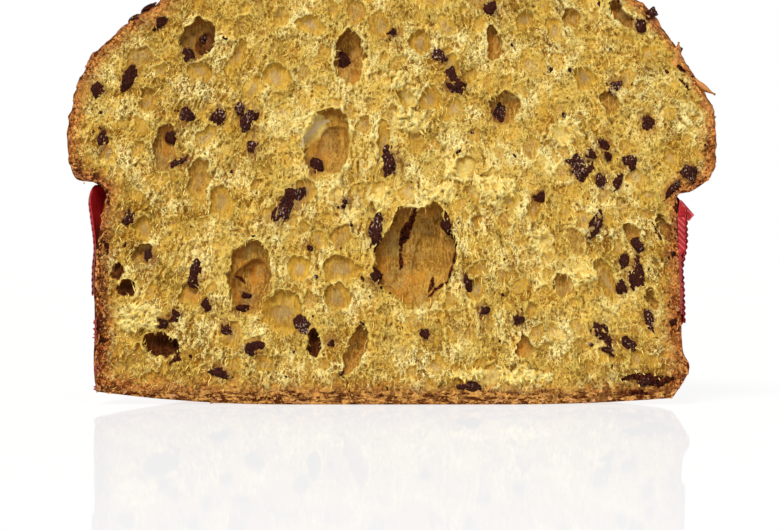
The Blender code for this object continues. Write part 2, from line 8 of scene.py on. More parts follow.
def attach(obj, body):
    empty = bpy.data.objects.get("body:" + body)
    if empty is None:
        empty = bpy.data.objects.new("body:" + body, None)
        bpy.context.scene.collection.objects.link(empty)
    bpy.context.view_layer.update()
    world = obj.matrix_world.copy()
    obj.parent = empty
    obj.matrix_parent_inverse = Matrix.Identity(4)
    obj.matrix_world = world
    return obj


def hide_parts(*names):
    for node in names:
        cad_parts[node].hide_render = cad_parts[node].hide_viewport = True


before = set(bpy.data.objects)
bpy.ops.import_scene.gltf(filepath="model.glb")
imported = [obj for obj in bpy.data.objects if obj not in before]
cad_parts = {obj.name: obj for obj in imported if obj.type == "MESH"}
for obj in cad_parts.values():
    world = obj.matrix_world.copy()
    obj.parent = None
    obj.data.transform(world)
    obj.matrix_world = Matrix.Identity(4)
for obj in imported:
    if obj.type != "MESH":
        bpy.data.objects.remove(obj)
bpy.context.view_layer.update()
bpy.ops.object.select_all(action="DESELECT")


# The crust: the browned skin of the half loaf, from the flat base up the wall, out over the
# lip and across the dome. The dough rose out of its paper mould while it baked, so the wall is
# plain and the dome is blistered. The outlines are the two halves of the cut, in millimetres.
MM = 0.001
CUT = -50.0
OUTLINE_RIGHT = (
    (96.5, 2.2), (102.2, 12.0), (99.9, 20.0), (99.0, 46.0), (98.1, 66.0), (98.6, 71.0),
    (103.2, 72.2), (109.6, 77.8), (111.0, 88.0), (110.2, 99.0), (105.9, 106.5), (102.4, 113.5),
    (98.0, 120.4), (92.8, 127.5), (87.6, 134.6), (71.5, 144.6), (46.0, 152.8), (20.0, 157.2),
    (0.0, 158.0),
)
OUTLINE_LEFT = (
    (98.4, 4.4), (99.2, 13.0), (98.9, 26.0), (98.9, 48.0), (95.9, 66.6), (95.4, 72.0),
    (100.2, 75.6), (105.6, 76.8), (107.9, 88.0), (107.0, 99.4), (104.6, 107.6), (101.4, 115.0),
    (96.4, 121.2), (88.6, 128.4), (79.6, 134.6), (66.0, 143.4), (43.0, 151.8), (19.0, 156.8),
    (0.0, 158.0),
)
CRUST_SPACING = 1.15
CRUST_COLUMNS = 278
FLAT_ROWS = 44
CURL_ROWS = 12
LIP_LOW = 73.0
LIP_HIGH = 82.0
DOME_CENTRE = 80.0
# How far out the base lies flat: at the right of the cut, at the left and behind
FLAT_RIGHT = 40.0
FLAT_LEFT = 32.0
FLAT_BEHIND = 86.0


def smoothstep(low, high, value):
    """Return 0 below low, 1 above high, and an even passage between."""
    share = np.clip((value - low) / (high - low), 0.0, 1.0)
    return share * share * (3.0 - 2.0 * share)


def curve(points, counts):
    """Return a smooth line through the points, with so many steps in each stretch."""
    points = np.array(points)
    padded = np.vstack([points[:1], points, points[-1:]])
    line = []
    for index, count in enumerate(counts):
        before, start, end, after = padded[index:index + 4]
        t = np.arange(count)[:, None] / count
        line.append(0.5 * (2.0 * start + (end - before) * t
                           + (2.0 * before - 5.0 * start + 4.0 * end - after) * t ** 2
                           + (3.0 * start - before - 3.0 * end + after) * t ** 3))
    line.append(points[-1:])
    return np.vstack(line)


def clouds(places, size):
    """Return soft noise at each place, with swellings of about that size."""
    values = [noise.noise(place) for place in (places / size).reshape(-1, 3)]
    return np.array(values).reshape(places.shape[:-1])


def unit(vectors):
    """Return vectors of length one that point the same way."""
    return vectors / (np.linalg.norm(vectors, axis=-1, keepdims=True) + 1e-9)


def grid_piece(name, rows, columns):
    """Add a flat grid with so many rows and columns of points, and return it."""
    bpy.ops.mesh.primitive_grid_add(x_subdivisions=rows - 1, y_subdivisions=columns - 1, size=1.0)
    piece = bpy.context.object
    piece.name = name
    piece.data.name = name
    return piece


def grid_places(piece, rows, columns):
    """Return the row and the column of each point of a grid."""
    flat = np.zeros(len(piece.data.vertices) * 3)
    piece.data.vertices.foreach_get("co", flat)
    flat = flat.reshape(-1, 3) + 0.5
    row = np.rint(flat[:, 0] * (rows - 1)).astype(int)
    column = np.rint(flat[:, 1] * (columns - 1)).astype(int)
    return row, column


def grid_shares(piece, rows, columns):
    """Return how far along the rows and the columns each point of a grid is, from 0 to 1."""
    row, column = grid_places(piece, rows, columns)
    return row / (rows - 1), column / (columns - 1)


def lay_points(piece, places):
    """Move a piece's points to places given in millimetres."""
    piece.data.vertices.foreach_set("co", (places * MM).astype(np.float32).ravel())
    piece.data.update()


def keep_on_points(piece, name, values):
    """Keep one number for each point of a piece, for its material to read."""
    layer = piece.data.attributes.new(name, "FLOAT", "POINT")
    layer.data.foreach_set("value", np.asarray(values, dtype=np.float32).ravel())


def tidy_surface(piece):
    """Merge a piece's doubles, turn its faces outwards and smooth it."""
    bpy.ops.object.select_all(action="DESELECT")
    piece.select_set(True)
    bpy.context.view_layer.objects.active = piece
    bpy.ops.object.mode_set(mode="EDIT")
    bpy.ops.mesh.select_all(action="SELECT")
    bpy.ops.mesh.remove_doubles(threshold=0.00001)
    bpy.ops.mesh.normals_make_consistent(inside=False)
    bpy.ops.object.mode_set(mode="OBJECT")
    bpy.ops.object.shade_smooth()


def thicken(piece, millimetres, offset=-1.0):
    """Give the active piece's sheet a thickness, behind it or, with no offset, to both sides."""
    thickness = piece.modifiers.new("thickness", "SOLIDIFY")
    thickness.thickness = millimetres * MM
    thickness.offset = offset
    bpy.ops.object.modifier_apply(modifier=thickness.name)


def ribbon_piece(name, *bundles):
    """Make a piece of short flat ribbons. A bundle holds the paired points of like ribbons."""
    places = []
    faces = []
    first = 0
    for bundle in bundles:
        count, around, _ = bundle.shape
        strip = np.array([(k, k + 1, k + 3, k + 2) for k in range(0, around - 2, 2)])
        starts = first + around * np.arange(count)[:, None, None]
        faces.append((strip[None] + starts).reshape(-1, 4))
        places.append(bundle.reshape(-1, 3))
        first += count * around
    mesh = bpy.data.meshes.new(name)
    mesh.from_pydata((np.vstack(places) * MM).tolist(), [], np.vstack(faces).tolist())
    mesh.shade_smooth()
    piece = bpy.data.objects.new(name, mesh)
    bpy.context.scene.collection.objects.link(piece)
    return piece


class Value:
    """A value in a material, which Python's own operators combine through Math nodes."""

    def __init__(self, recipe, socket):
        self.recipe = recipe
        self.socket = socket

    def math(self, operation, first, second):
        return self.recipe.node("ShaderNodeMath", {"operation": operation}, {0: first, 1: second})

    def __add__(self, other):
        return self.math("ADD", self, other)

    def __radd__(self, other):
        return self.math("ADD", other, self)

    def __sub__(self, other):
        return self.math("SUBTRACT", self, other)

    def __rsub__(self, other):
        return self.math("SUBTRACT", other, self)

    def __mul__(self, other):
        return self.math("MULTIPLY", self, other)

    def __rmul__(self, other):
        return self.math("MULTIPLY", other, self)

    def least(self, other):
        return self.math("MINIMUM", self, other)

    def most(self, other):
        return self.math("MAXIMUM", self, other)

    def between(self, low, high):
        """Return 0 where this is under low, 1 where it is over high, and a soft passage."""
        return self.recipe.node(
            "ShaderNodeMapRange", {"interpolation_type": "SMOOTHSTEP"},
            {"Value": self, "From Min": low, "From Max": high})


class Nodes:
    """The nodes of a material or of the world, which all come from one method."""

    def __init__(self, tree):
        self.tree = tree

    def put(self, socket, value):
        """Link or set a socket. A colour of three numbers is one as read from a screen."""
        if isinstance(value, Value):
            self.tree.links.new(value.socket, socket)
        elif socket.type == "RGBA" and len(value) == 3:
            socket.default_value = (*shade(*value), 1.0)
        else:
            socket.default_value = value

    def node(self, kind, settings, values, output=0):
        made = self.tree.nodes.new(kind)
        for key, value in settings.items():
            setattr(made, key, value)
        for key, value in values.items():
            self.put(made.inputs[key], value)
        return Value(self, made.outputs[output])


class Recipe(Nodes):
    """A material: its nodes, the colour as it builds up coat by coat, and its one shader."""

    def __init__(self, name):
        self.material = bpy.data.materials.new(name)
        self.material.use_nodes = True
        super().__init__(self.material.node_tree)
        self.shader = self.tree.nodes["Principled BSDF"]
        self.colour = None
        place = self.node("ShaderNodeTexCoord", {}, {}, "Object")
        self.place = self.node("ShaderNodeVectorMath", {"operation": "SCALE"},
                               {0: place, "Scale": 1.0 / MM})

    def along(self, axis):
        """Return the place along one axis: 0 to the right, 1 to the back, 2 up."""
        return self.node("ShaderNodeSeparateXYZ", {}, {0: self.place}, axis)

    def squeezed(self, size, stretch):
        """Return the place in steps of that size, longer where stretch is over 1."""
        squeeze = tuple(1.0 / (size * part) for part in stretch)
        return self.node("ShaderNodeVectorMath", {"operation": "MULTIPLY"},
                         {0: self.place, 1: squeeze})

    def speckle(self, size, detail=2.0, roughness=0.5, stretch=(1.0, 1.0, 1.0), twist=0.0):
        """Return noise of about that size in millimetres, longer where stretch is over 1."""
        return self.node("ShaderNodeTexNoise", {},
                         {"Vector": self.squeezed(size, stretch), "Scale": 1.0,
                          "Detail": detail, "Roughness": roughness, "Distortion": twist})

    def foam(self, size, sway, stretch):
        """Return how far a place is from a fine foam's nearest wall, and its cell's number."""
        place = self.squeezed(size, stretch)
        drift = self.node("ShaderNodeTexNoise", {},
                          {"Vector": place, "Scale": 1.1, "Detail": 2.0}, 1)
        drift = self.node("ShaderNodeVectorMath", {"operation": "SCALE"},
                          {0: drift, "Scale": sway})
        place = self.node("ShaderNodeVectorMath", {"operation": "ADD"}, {0: place, 1: drift})
        edge = self.node("ShaderNodeTexVoronoi", {"feature": "DISTANCE_TO_EDGE"},
                         {"Vector": place, "Scale": 1.0})
        number = self.node("ShaderNodeTexVoronoi", {"feature": "F1"},
                           {"Vector": place, "Scale": 1.0}, "Color")
        return edge, self.node("ShaderNodeSeparateXYZ", {}, {0: number}, 0)

    def kept(self, name):
        """Return the number that was kept on each point under a name."""
        return self.node("ShaderNodeAttribute", {"attribute_name": name}, {}, "Fac")

    def blend(self, share, first, second):
        """Return the first colour where share is 0 and the second where it is 1."""
        return self.node("ShaderNodeMix", {"data_type": "RGBA"},
                         {0: share, 6: first, 7: second}, 2)

    def coat(self, share, colour):
        """Lay a colour over the material's colour so far, as far as share goes."""
        self.colour = self.blend(share, self.colour, colour)

    def shine(self, **values):
        """Set the shader's own values, and its colour from the coats."""
        self.put(self.shader.inputs["Base Color"], self.colour)
        for key, value in values.items():
            self.put(self.shader.inputs[key.replace("_", " ")], value)

    def relief(self, height, distance, strength):
        """Raise and lower the surface in the shading, by height times distance in mm."""
        bump = self.node("ShaderNodeBump", {},
                         {"Strength": strength, "Distance": distance * MM, "Height": height})
        self.put(self.shader.inputs["Normal"], bump)


def shade(red, green, blue):
    """Turn a colour as read from a screen into the light that it stands for."""
    parts = []
    for part in (red, green, blue):
        part /= 255.0
        parts.append(part / 12.92 if part <= 0.04045 else ((part + 0.055) / 1.055) ** 2.4)
    return tuple(parts)


lengths_right = np.linalg.norm(np.diff(np.array(OUTLINE_RIGHT), axis=0), axis=1)
lengths_left = np.linalg.norm(np.diff(np.array(OUTLINE_LEFT), axis=0), axis=1)
counts = np.ceil(np.maximum(lengths_right, lengths_left) / CRUST_SPACING).astype(int)
line_right = curve(OUTLINE_RIGHT, counts)
line_left = curve(OUTLINE_LEFT, counts)
around = np.linspace(0.0, math.pi, CRUST_COLUMNS)
leftness = 0.5 - 0.5 * np.cos(around)
circle = np.stack([np.cos(around), np.sin(around), np.zeros_like(around)], axis=1)
lobes = clouds(circle, 1.0 / 1.7) * np.sin(around)
flat_front = FLAT_RIGHT + (FLAT_LEFT - FLAT_RIGHT) * leftness
flat = flat_front + (FLAT_BEHIND - flat_front) * np.sin(around) ** 0.7

reach = line_right[:, :1] * (1.0 - leftness) + line_left[:, :1] * leftness
height = line_right[:, 1:] * (1.0 - leftness) + line_left[:, 1:] * leftness
overhang = smoothstep(75.0, 82.0, height) * (1.0 - smoothstep(98.0, 118.0, height))
reach += 4.0 * overhang * lobes
flat_rows = np.linspace(0.0, 1.0, FLAT_ROWS)[:, None]
curl_rows = np.linspace(0.0, 1.0, CURL_ROWS + 2)[1:-1, None]
base_reach = np.vstack([flat_rows * flat, flat + (reach[0] - flat) * curl_rows])
base_height = np.vstack([flat_rows * np.zeros_like(flat), height[0] * curl_rows ** 2])
reach = np.vstack([base_reach, reach])
height = np.vstack([base_height, height])
CRUST_ROWS = len(reach)
skin = np.stack([reach * np.cos(around), CUT + reach * np.sin(around), height], axis=2)

outward = unit(skin - np.array([0.0, CUT, DOME_CENTRE]))
above_lip = smoothstep(LIP_LOW, LIP_HIGH, height)
soft = smoothstep(0.0, 0.35, np.sin(around)) * smoothstep(3.0, 9.0, height)
soft *= 0.35 + 0.65 * above_lip
swell = 1.6 * clouds(skin, 30.0) + 0.6 * clouds(skin, 9.0)
skin += outward * (soft * swell)[:, :, None]

upright = unit(np.cross(np.gradient(skin, axis=1), np.gradient(skin, axis=0)))
upright *= np.sign((upright * outward).sum(axis=2, keepdims=True) + 1e-9)
blister = clouds(skin + 40.0, 4.2)
pimple = clouds(skin + 90.0, 1.9)
dimple = clouds(skin + 23.0, 8.5)
crack = 1.0 - np.abs(clouds(skin * np.array([1.0, 1.0, 0.6]) + 7.0, 15.0)) * 8.0
wrinkle = np.clip(crack + 0.5 * pimple, 0.0, 1.0)
wrinkle *= smoothstep(0.08, 0.3, clouds(skin + 55.0, 19.0))
rough = 0.35 * blister + 0.26 * pimple + 0.45 * dimple - 0.35 * wrinkle
rough *= 0.35 + 0.65 * above_lip
rough *= smoothstep(0.0, 5.0, height) * 0.85 + 0.15
rough *= 1.0 + 1.1 * above_lip * smoothstep(0.06, 0.0, np.sin(around))
skin += upright * rough[:, :, None]
for end in (0, -1):
    skin[:, end, 1] = CUT + 0.1 + 0.25 * (1.0 + blister[:, end])
skin[:, :, 2] = np.maximum(skin[:, :, 2], 0.0)
skin[:FLAT_ROWS, :, 2] = 0.0

crust = grid_piece("crust", CRUST_ROWS, CRUST_COLUMNS)
row, column = grid_places(crust, CRUST_ROWS, CRUST_COLUMNS)
lay_points(crust, skin[row, column])
keep_on_points(crust, "blister", (0.5 + 0.8 * blister + 0.4 * pimple)[row, column])
keep_on_points(crust, "wrinkle", wrinkle[row, column])
tidy_surface(crust)

# Splinters of crust that lifted off the shoulder: root and tip as x and height, width, bow
FLAKES = (
    (90.4, 129.8, 95.6, 123.4, 2.8, 0.3), (97.3, 115.4, 98.6, 122.6, 3.2, 0.5),
    (102.4, 111.6, 111.1, 104.8, 3.4, 0.6), (107.4, 101.6, 111.2, 97.0, 3.0, 0.4),
    (97.6, 116.4, 102.6, 111.0, 1.4, -0.7), (106.4, 105.6, 109.8, 101.2, 2.6, 0.3),
    (18.0, 0.9, 39.5, 1.2, 1.8, 0.1), (86.4, 133.6, 89.4, 131.6, 2.0, 0.4),
    (-52.0, 0.8, -60.0, 0.5, 1.2, 0.1), (-41.0, 0.6, -47.5, 0.4, 1.0, 0.0),
)
crust_pieces = [crust]
for index, (root_x, root_z, tip_x, tip_z, wide, bow) in enumerate(FLAKES):
    flake = grid_piece("flake_%d" % index, 13, 7)
    t, s = grid_shares(flake, 13, 7)
    s = s - 0.5
    run = np.array([tip_x - root_x, tip_z - root_z])
    long = np.linalg.norm(run)
    run /= long
    half = wide * (1.0 - t ** 2.4) * (0.8 + 0.2 * np.sin(t * 9.0 + index)) + 0.15
    along = -1.0 + (long + 1.0) * t
    bend = bow * np.sin(t * math.pi)
    x = root_x + run[0] * along - run[1] * (s * half - bend)
    z = root_z + run[1] * along + run[0] * (s * half - bend)
    y = CUT + 1.2 + 0.25 * index - 0.8 * t + 1.4 * s ** 2 * wide
    lay_points(flake, np.stack([x, y, np.maximum(z, 0.3)], axis=1))
    keep_on_points(flake, "blister", 0.3 + 0.5 * np.abs(s) * 2.0 * (s < 0.0))
    keep_on_points(flake, "wrinkle", 1.6 * (1.0 - 0.6 * t) * (0.4 + (index % 3 > 0)))
    tidy_surface(flake)
    thicken(flake, 0.45)
    crust_pieces.append(flake)

# Scraps that the knife left hanging all along the edge of the cut
SCRAPS = 620
loose = np.random.default_rng(77)
level = loose.integers(FLAT_ROWS - 8, CRUST_ROWS - 2, SCRAPS)
end = loose.integers(0, 2, SCRAPS) * (CRUST_COLUMNS - 1)
root = skin[level, end]
along = unit(skin[level + 1, end] - root)
away = np.stack([along[:, 2], np.zeros(SCRAPS), -along[:, 0]], axis=1)
away *= np.sign((away * outward[level, end]).sum(axis=1, keepdims=True) + 1e-9)
root = root + away * loose.uniform(-1.8, -0.25, SCRAPS)[:, None]
root[:, 1] = CUT + loose.uniform(-0.25, 1.2, SCRAPS)
turn = loose.normal(0.0, 0.22, SCRAPS)
hand = np.sign(loose.uniform(-1.0, 1.0, SCRAPS))
lean = along * (hand * np.cos(turn))[:, None] + away * np.abs(np.sin(turn))[:, None]
lean[:, 1] -= loose.uniform(-0.1, 0.3, SCRAPS)
long = loose.uniform(0.5, 1.9, SCRAPS)
broadness = loose.uniform(0.3, 0.9, SCRAPS)
points = []
for reached, width_here in ((0.0, 0.6), (0.35, 1.0), (0.7, 0.8), (1.0, 0.25)):
    for edge in (-0.5, 0.5):
        jag = edge * width_here * broadness * loose.uniform(0.6, 1.4, SCRAPS)
        point = root + lean * (long * reached)[:, None] + away * jag[:, None]
        point[:, 1] += 0.25 * reached ** 2 * long
        point[:, 2] = np.maximum(point[:, 2], 0.08)
        points.append(point)
scraps = ribbon_piece("crust_scraps", np.stack(points, axis=1))
for name, most in (("blister", 0.9), ("wrinkle", 1.8)):
    keep_on_points(scraps, name, np.repeat(loose.uniform(0.0, most, SCRAPS), len(points)))
crust_pieces.append(scraps)

browned = Recipe("browned_crust")
high = browned.along(2)
patches = browned.speckle(26.0, 3.0, 0.55)
mottle = browned.speckle(5.0, 4.0, 0.6)
grit = browned.speckle(0.9, 3.0, 0.65)
freckle = browned.speckle(2.2, 4.0, 0.7)
wall = browned.blend(mottle.between(0.38, 0.64), (112, 50, 16), (188, 114, 50))
wall = browned.blend(high.between(9.0, 1.0) * 0.6, wall, (214, 168, 112))
top = browned.blend(patches.between(0.35, 0.65), (120, 58, 20), (178, 102, 40))
top = browned.blend((freckle * 0.7 + mottle * 0.3).between(0.45, 0.62) * 0.65, top, (92, 42, 14))
top = browned.blend(freckle.between(0.46, 0.34) * 0.4, top, (206, 134, 62))
lip = browned.blend(mottle.between(0.38, 0.62), (124, 56, 16), (214, 136, 60))
browned.colour = wall
browned.coat(high.between(70.0, 86.0), lip)
browned.coat(high.between(84.0, 112.0), top)
browned.coat(browned.kept("blister").between(0.55, 1.0) * 0.55, (92, 44, 18))
browned.coat(browned.kept("wrinkle") * 0.45, (208, 142, 72))
browned.coat(grit.between(0.52, 0.75) * 0.35, (84, 40, 16))
browned.shine(Roughness=0.48 + mottle * 0.28, Specular_IOR_Level=0.3)
browned.relief(browned.speckle(0.7, 4.0, 0.7) + mottle * 0.8, 0.35, 0.8)
for piece in crust_pieces:
    piece.data.materials.append(browned.material)
    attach(piece, "root")
    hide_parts("loaf")


# The crumb: the open inside of the loaf, torn as much as cut, so that its face is a net of
# pale broken walls round smooth golden cells. It is a fine grid pressed in cell by cell, from
# the great hole by the middle down to pores, and it browns over the last few millimetres.
STEP = 0.412
HALF_COLUMNS = 275
FACE_ROWS = 390
FACE_LOW = -0.4
RIND_REACH = 14.0
across = (np.arange(2 * HALF_COLUMNS + 1) - HALF_COLUMNS) * STEP
upward = FACE_LOW + np.arange(FACE_ROWS) * STEP
face_x, face_z = np.meshgrid(across, upward, indexing="ij")
rng = np.random.default_rng(1919)


def swirl(x, z, size, seed):
    """Return soft noise over the face, from about -1 to 1, with swellings of that size."""
    u = (x + 140.0) / size
    v = (z + 30.0) / size
    left = np.floor(u).astype(int)
    low = np.floor(v).astype(int)
    turns = np.random.default_rng(seed).uniform(0.0, 2.0 * math.pi,
                                                (int(280.0 / size) + 4, int(230.0 / size) + 4))
    total = np.zeros_like(u)
    for step_u in (0, 1):
        for step_v in (0, 1):
            far_u = u - left - step_u
            far_v = v - low - step_v
            turn = turns[(left + step_u) % turns.shape[0], (low + step_v) % turns.shape[1]]
            weight = 1.0
            for near in (1.0 - np.abs(far_u), 1.0 - np.abs(far_v)):
                weight = weight * (near ** 3 * (near * (near * 6.0 - 15.0) + 10.0))
            total += weight * (np.cos(turn) * far_u + np.sin(turn) * far_v)
    return 1.5 * total


def veins(x, z, size, seed):
    """Return noise that is highest along thin winding lines."""
    return 1.0 - 2.0 * np.abs(swirl(x, z, size, seed))


def blurred(values, reach):
    """Return values averaged over a square that reaches so many points each way."""
    for axis in (0, 1):
        values = sum(np.roll(values, shift, axis) for shift in range(-reach, reach + 1))
        values = values / (2 * reach + 1)
    return values


def turned(off_x, off_z, lean):
    """Return offsets across and along a shape that leans so many degrees to the right."""
    turn = math.radians(lean)
    return (off_x * math.cos(turn) - off_z * math.sin(turn),
            off_x * math.sin(turn) + off_z * math.cos(turn))


rim_right = skin[:, 0][:, [0, 2]]
rim_left = skin[:, -1][:, [0, 2]]
rim = np.vstack([rim_right, rim_left[::-1]])
rim_next = np.roll(rim, -1, axis=0)
inside = np.zeros(face_x.shape, dtype=bool)
rind = np.full(face_x.shape, RIND_REACH)
for step, level in enumerate(upward):
    crossing = (rim[:, 1] > level) != (rim_next[:, 1] > level)
    start = rim[crossing]
    way = rim_next[crossing] - start
    places = start[:, 0] + (level - start[:, 1]) * way[:, 0] / way[:, 1]
    inside[:, step] = np.searchsorted(np.sort(places), across) % 2 == 1
    near = rim[np.abs(rim[:, 1] - level) < RIND_REACH]
    apart = np.hypot(across[:, None] - near[:, 0], level - near[:, 1])
    rind[:, step] = np.minimum(RIND_REACH, apart.min(axis=1))

# The holes that show one by one: x, height, width, tallness, lean to the right in degrees,
# depth and how dark the wall is painted: its own golden brown, deepened to painted shade in the
# darkest holes
HOLES = (
    (9.5, 50.4, 28.0, 35.5, 4, 13.0, 0.75),
    (-20.3, 87.5, 15.5, 25.7, 10, 7.0, 0.63),
    (-46.3, 42.6, 14.8, 27.0, 3, 7.0, 0.72),
    (-63.9, 123.7, 11.2, 14.2, 20, 6.0, 0.98),
    (-12.5, 117.3, 9.5, 18.6, -2, 7.0, 0.8),
    (-74.7, 86.5, 7.4, 16.9, 2, 4.0, 0.83),
    (-63.9, 75.7, 8.1, 16.2, 4, 3.0, 0.62),
    (-15.5, 45.6, 13.5, 9.5, 8, 4.0, 0.5),
    (-16.9, 36.2, 10.1, 10.1, 0, 4.0, 0.52),
    (-35.5, 30.8, 14.0, 16.0, 30, 4.5, 0.4),
    (-10.8, 18.3, 6.1, 18.6, 22, 6.0, 0.8),
    (-76.2, 19.9, 12.2, 8.1, 25, 6.0, 1.35),
    (-24.7, 21.0, 4.4, 10.0, -4, 5.0, 1.3),
    (-88.2, 39.8, 6.4, 6.4, 30, 4.5, 1.25),
    (-91.2, 45.2, 5.2, 3.6, -70, 3.0, 1.15),
    (-82.8, 50.7, 6.1, 8.1, 12, 4.0, 0.8),
    (-82.8, 60.2, 6.1, 10.1, 6, 4.0, 0.45),
    (-66.9, 36.8, 7.4, 8.1, 16, 3.5, 0.65),
    (-55.8, 68.3, 8.5, 11.8, 8, 3.0, 0.5),
    (-37.5, 110.9, 10.1, 8.8, 16, 3.0, 0.3),
    (-25.7, 128.4, 10.8, 7.4, 12, 3.0, 0.32),
    (-51.0, 117.3, 5.1, 15.2, 28, 3.5, 0.37),
    (-63.2, 112.6, 9.5, 6.4, 24, 3.5, 0.52),
    (-81.1, 102.4, 6.8, 10.1, 16, 3.5, 0.55),
    (36.5, 122.4, 6.1, 11.8, -6, 5.0, 0.88),
    (39.9, 100.0, 10.1, 11.8, -12, 4.0, 0.72),
    (11.5, 122.4, 6.8, 9.5, -6, 3.5, 0.45),
    (6.4, 103.4, 6.8, 7.4, -4, 3.0, 0.43),
    (14.9, 103.4, 7.4, 8.1, -4, 3.0, 0.45),
    (-1.0, 88.6, 5.1, 15.2, 0, 3.5, 0.47),
    (26.7, 80.1, 6.1, 7.4, -6, 3.0, 0.5),
    (30.4, 61.5, 3.4, 4.1, 0, 3.0, 0.62),
    (50.0, 66.3, 5.1, 12.2, 30, 3.5, 0.55),
    (46.6, 19.6, 4.7, 8.8, -6, 4.0, 0.72),
    (59.8, 40.2, 6.8, 7.4, -16, 3.0, 0.7),
    (30.4, 38.5, 6.1, 9.5, 0, 3.5, 0.5),
    (75.0, 41.2, 6.1, 16.9, -24, 5.0, 0.5),
    (89.8, 35.2, 3.8, 9.4, -22, 4.0, 0.72),
    (82.8, 58.1, 5.4, 8.1, -18, 3.5, 0.68),
    (94.0, 59.4, 4.4, 9.5, -22, 3.5, 0.87),
    (79.1, 131.8, 4.4, 11.6, -42, 4.5, 0.95),
    (76.0, 102.1, 6.8, 8.1, -26, 3.5, 0.68),
    (67.3, 110.5, 7.4, 8.1, -26, 3.5, 0.4),
    (62.5, 130.8, 6.8, 6.8, -20, 3.0, 0.62),
    (46.6, 130.1, 6.8, 6.8, -12, 3.0, 0.48),
    (-29.7, 45.9, 8.1, 8.8, 14, 3.0, 0.2),
    (-27.7, 72.0, 7.4, 9.5, 8, 3.0, 0.5),
)
# Older bubbles that show inside the holes, with the same values
NESTED = (
    (-46.3, 40.6, 11.0, 17.5, 12, 3.0, 0.87), (-48.8, 37.6, 5.2, 8.0, 4, 1.6, 1.05),
    (-18.6, 85.6, 10.5, 18.0, 14, 1.6, 0.68), (14.0, 47.0, 11.0, 22.0, 4, 1.4, 0.66),
    (-62.0, 122.0, 6.0, 8.0, 20, 1.5, 1.1), (-37.0, 29.5, 8.0, 9.0, 30, 0.8, 0.5),
)

# The mouth of the great hole, round its middle, as x and height
MOUTH = (
    (4.1, 66.8), (9.7, 66.5), (15.3, 67.9), (18.9, 66.2), (19.5, 60.6), (23.4, 54.5), (22.5, 47.7),
    (19.7, 39.3), (15.3, 33.7), (6.9, 31.5), (3.5, 35.4), (-1.6, 39.3), (-4.1, 45.5), (-3.8, 52.2),
    (-1.0, 55.6), (1.8, 61.2),
)
mouth_off = np.array(MOUTH) - np.array([HOLES[0][:2]])
mouth_turns = np.degrees(np.arctan2(mouth_off[:, 1], mouth_off[:, 0]))
mouth_reach = np.linalg.norm(mouth_off, axis=1)
GREAT = 30.0


def scatter_cells(low, high, tries, taken, spread, steep):
    """Return random cells between two widths that keep clear of each other and of taken."""
    cells = []
    filled = len(taken)
    place = np.zeros((filled + tries, 2))
    room = np.zeros(filled + tries)
    for index, (x, z, width, tall, *_) in enumerate(taken):
        place[index] = (x, z)
        room[index] = 0.25 * (width + tall)
    for _ in range(tries):
        i = int(rng.integers(0, face_x.shape[0]))
        j = int(rng.integers(0, face_x.shape[1]))
        width = low * (high / low) ** (rng.random() ** 1.3)
        if not inside[i, j]:
            continue
        x = face_x[i, j]
        z = face_z[i, j]
        edge = rind[i, j]
        width *= 0.45 + 0.55 * min(1.0, edge / 12.0)
        if edge < 0.5 + 0.6 * width:
            continue
        size = 0.5 * width * 1.15
        away = np.hypot(place[:filled, 0] - x, place[:filled, 1] - z)
        if filled and (away < spread * (room[:filled] + size)).any():
            continue
        tall = width * rng.uniform(1.05, 1.75)
        lean = -35.0 * x / 100.0 + rng.uniform(-22.0, 22.0)
        deep = width * rng.uniform(*steep)
        cells.append((x, z, width, tall, lean, deep, rng.random() ** 1.8))
        place[filled] = (x, z)
        room[filled] = size
        filled += 1
    return cells


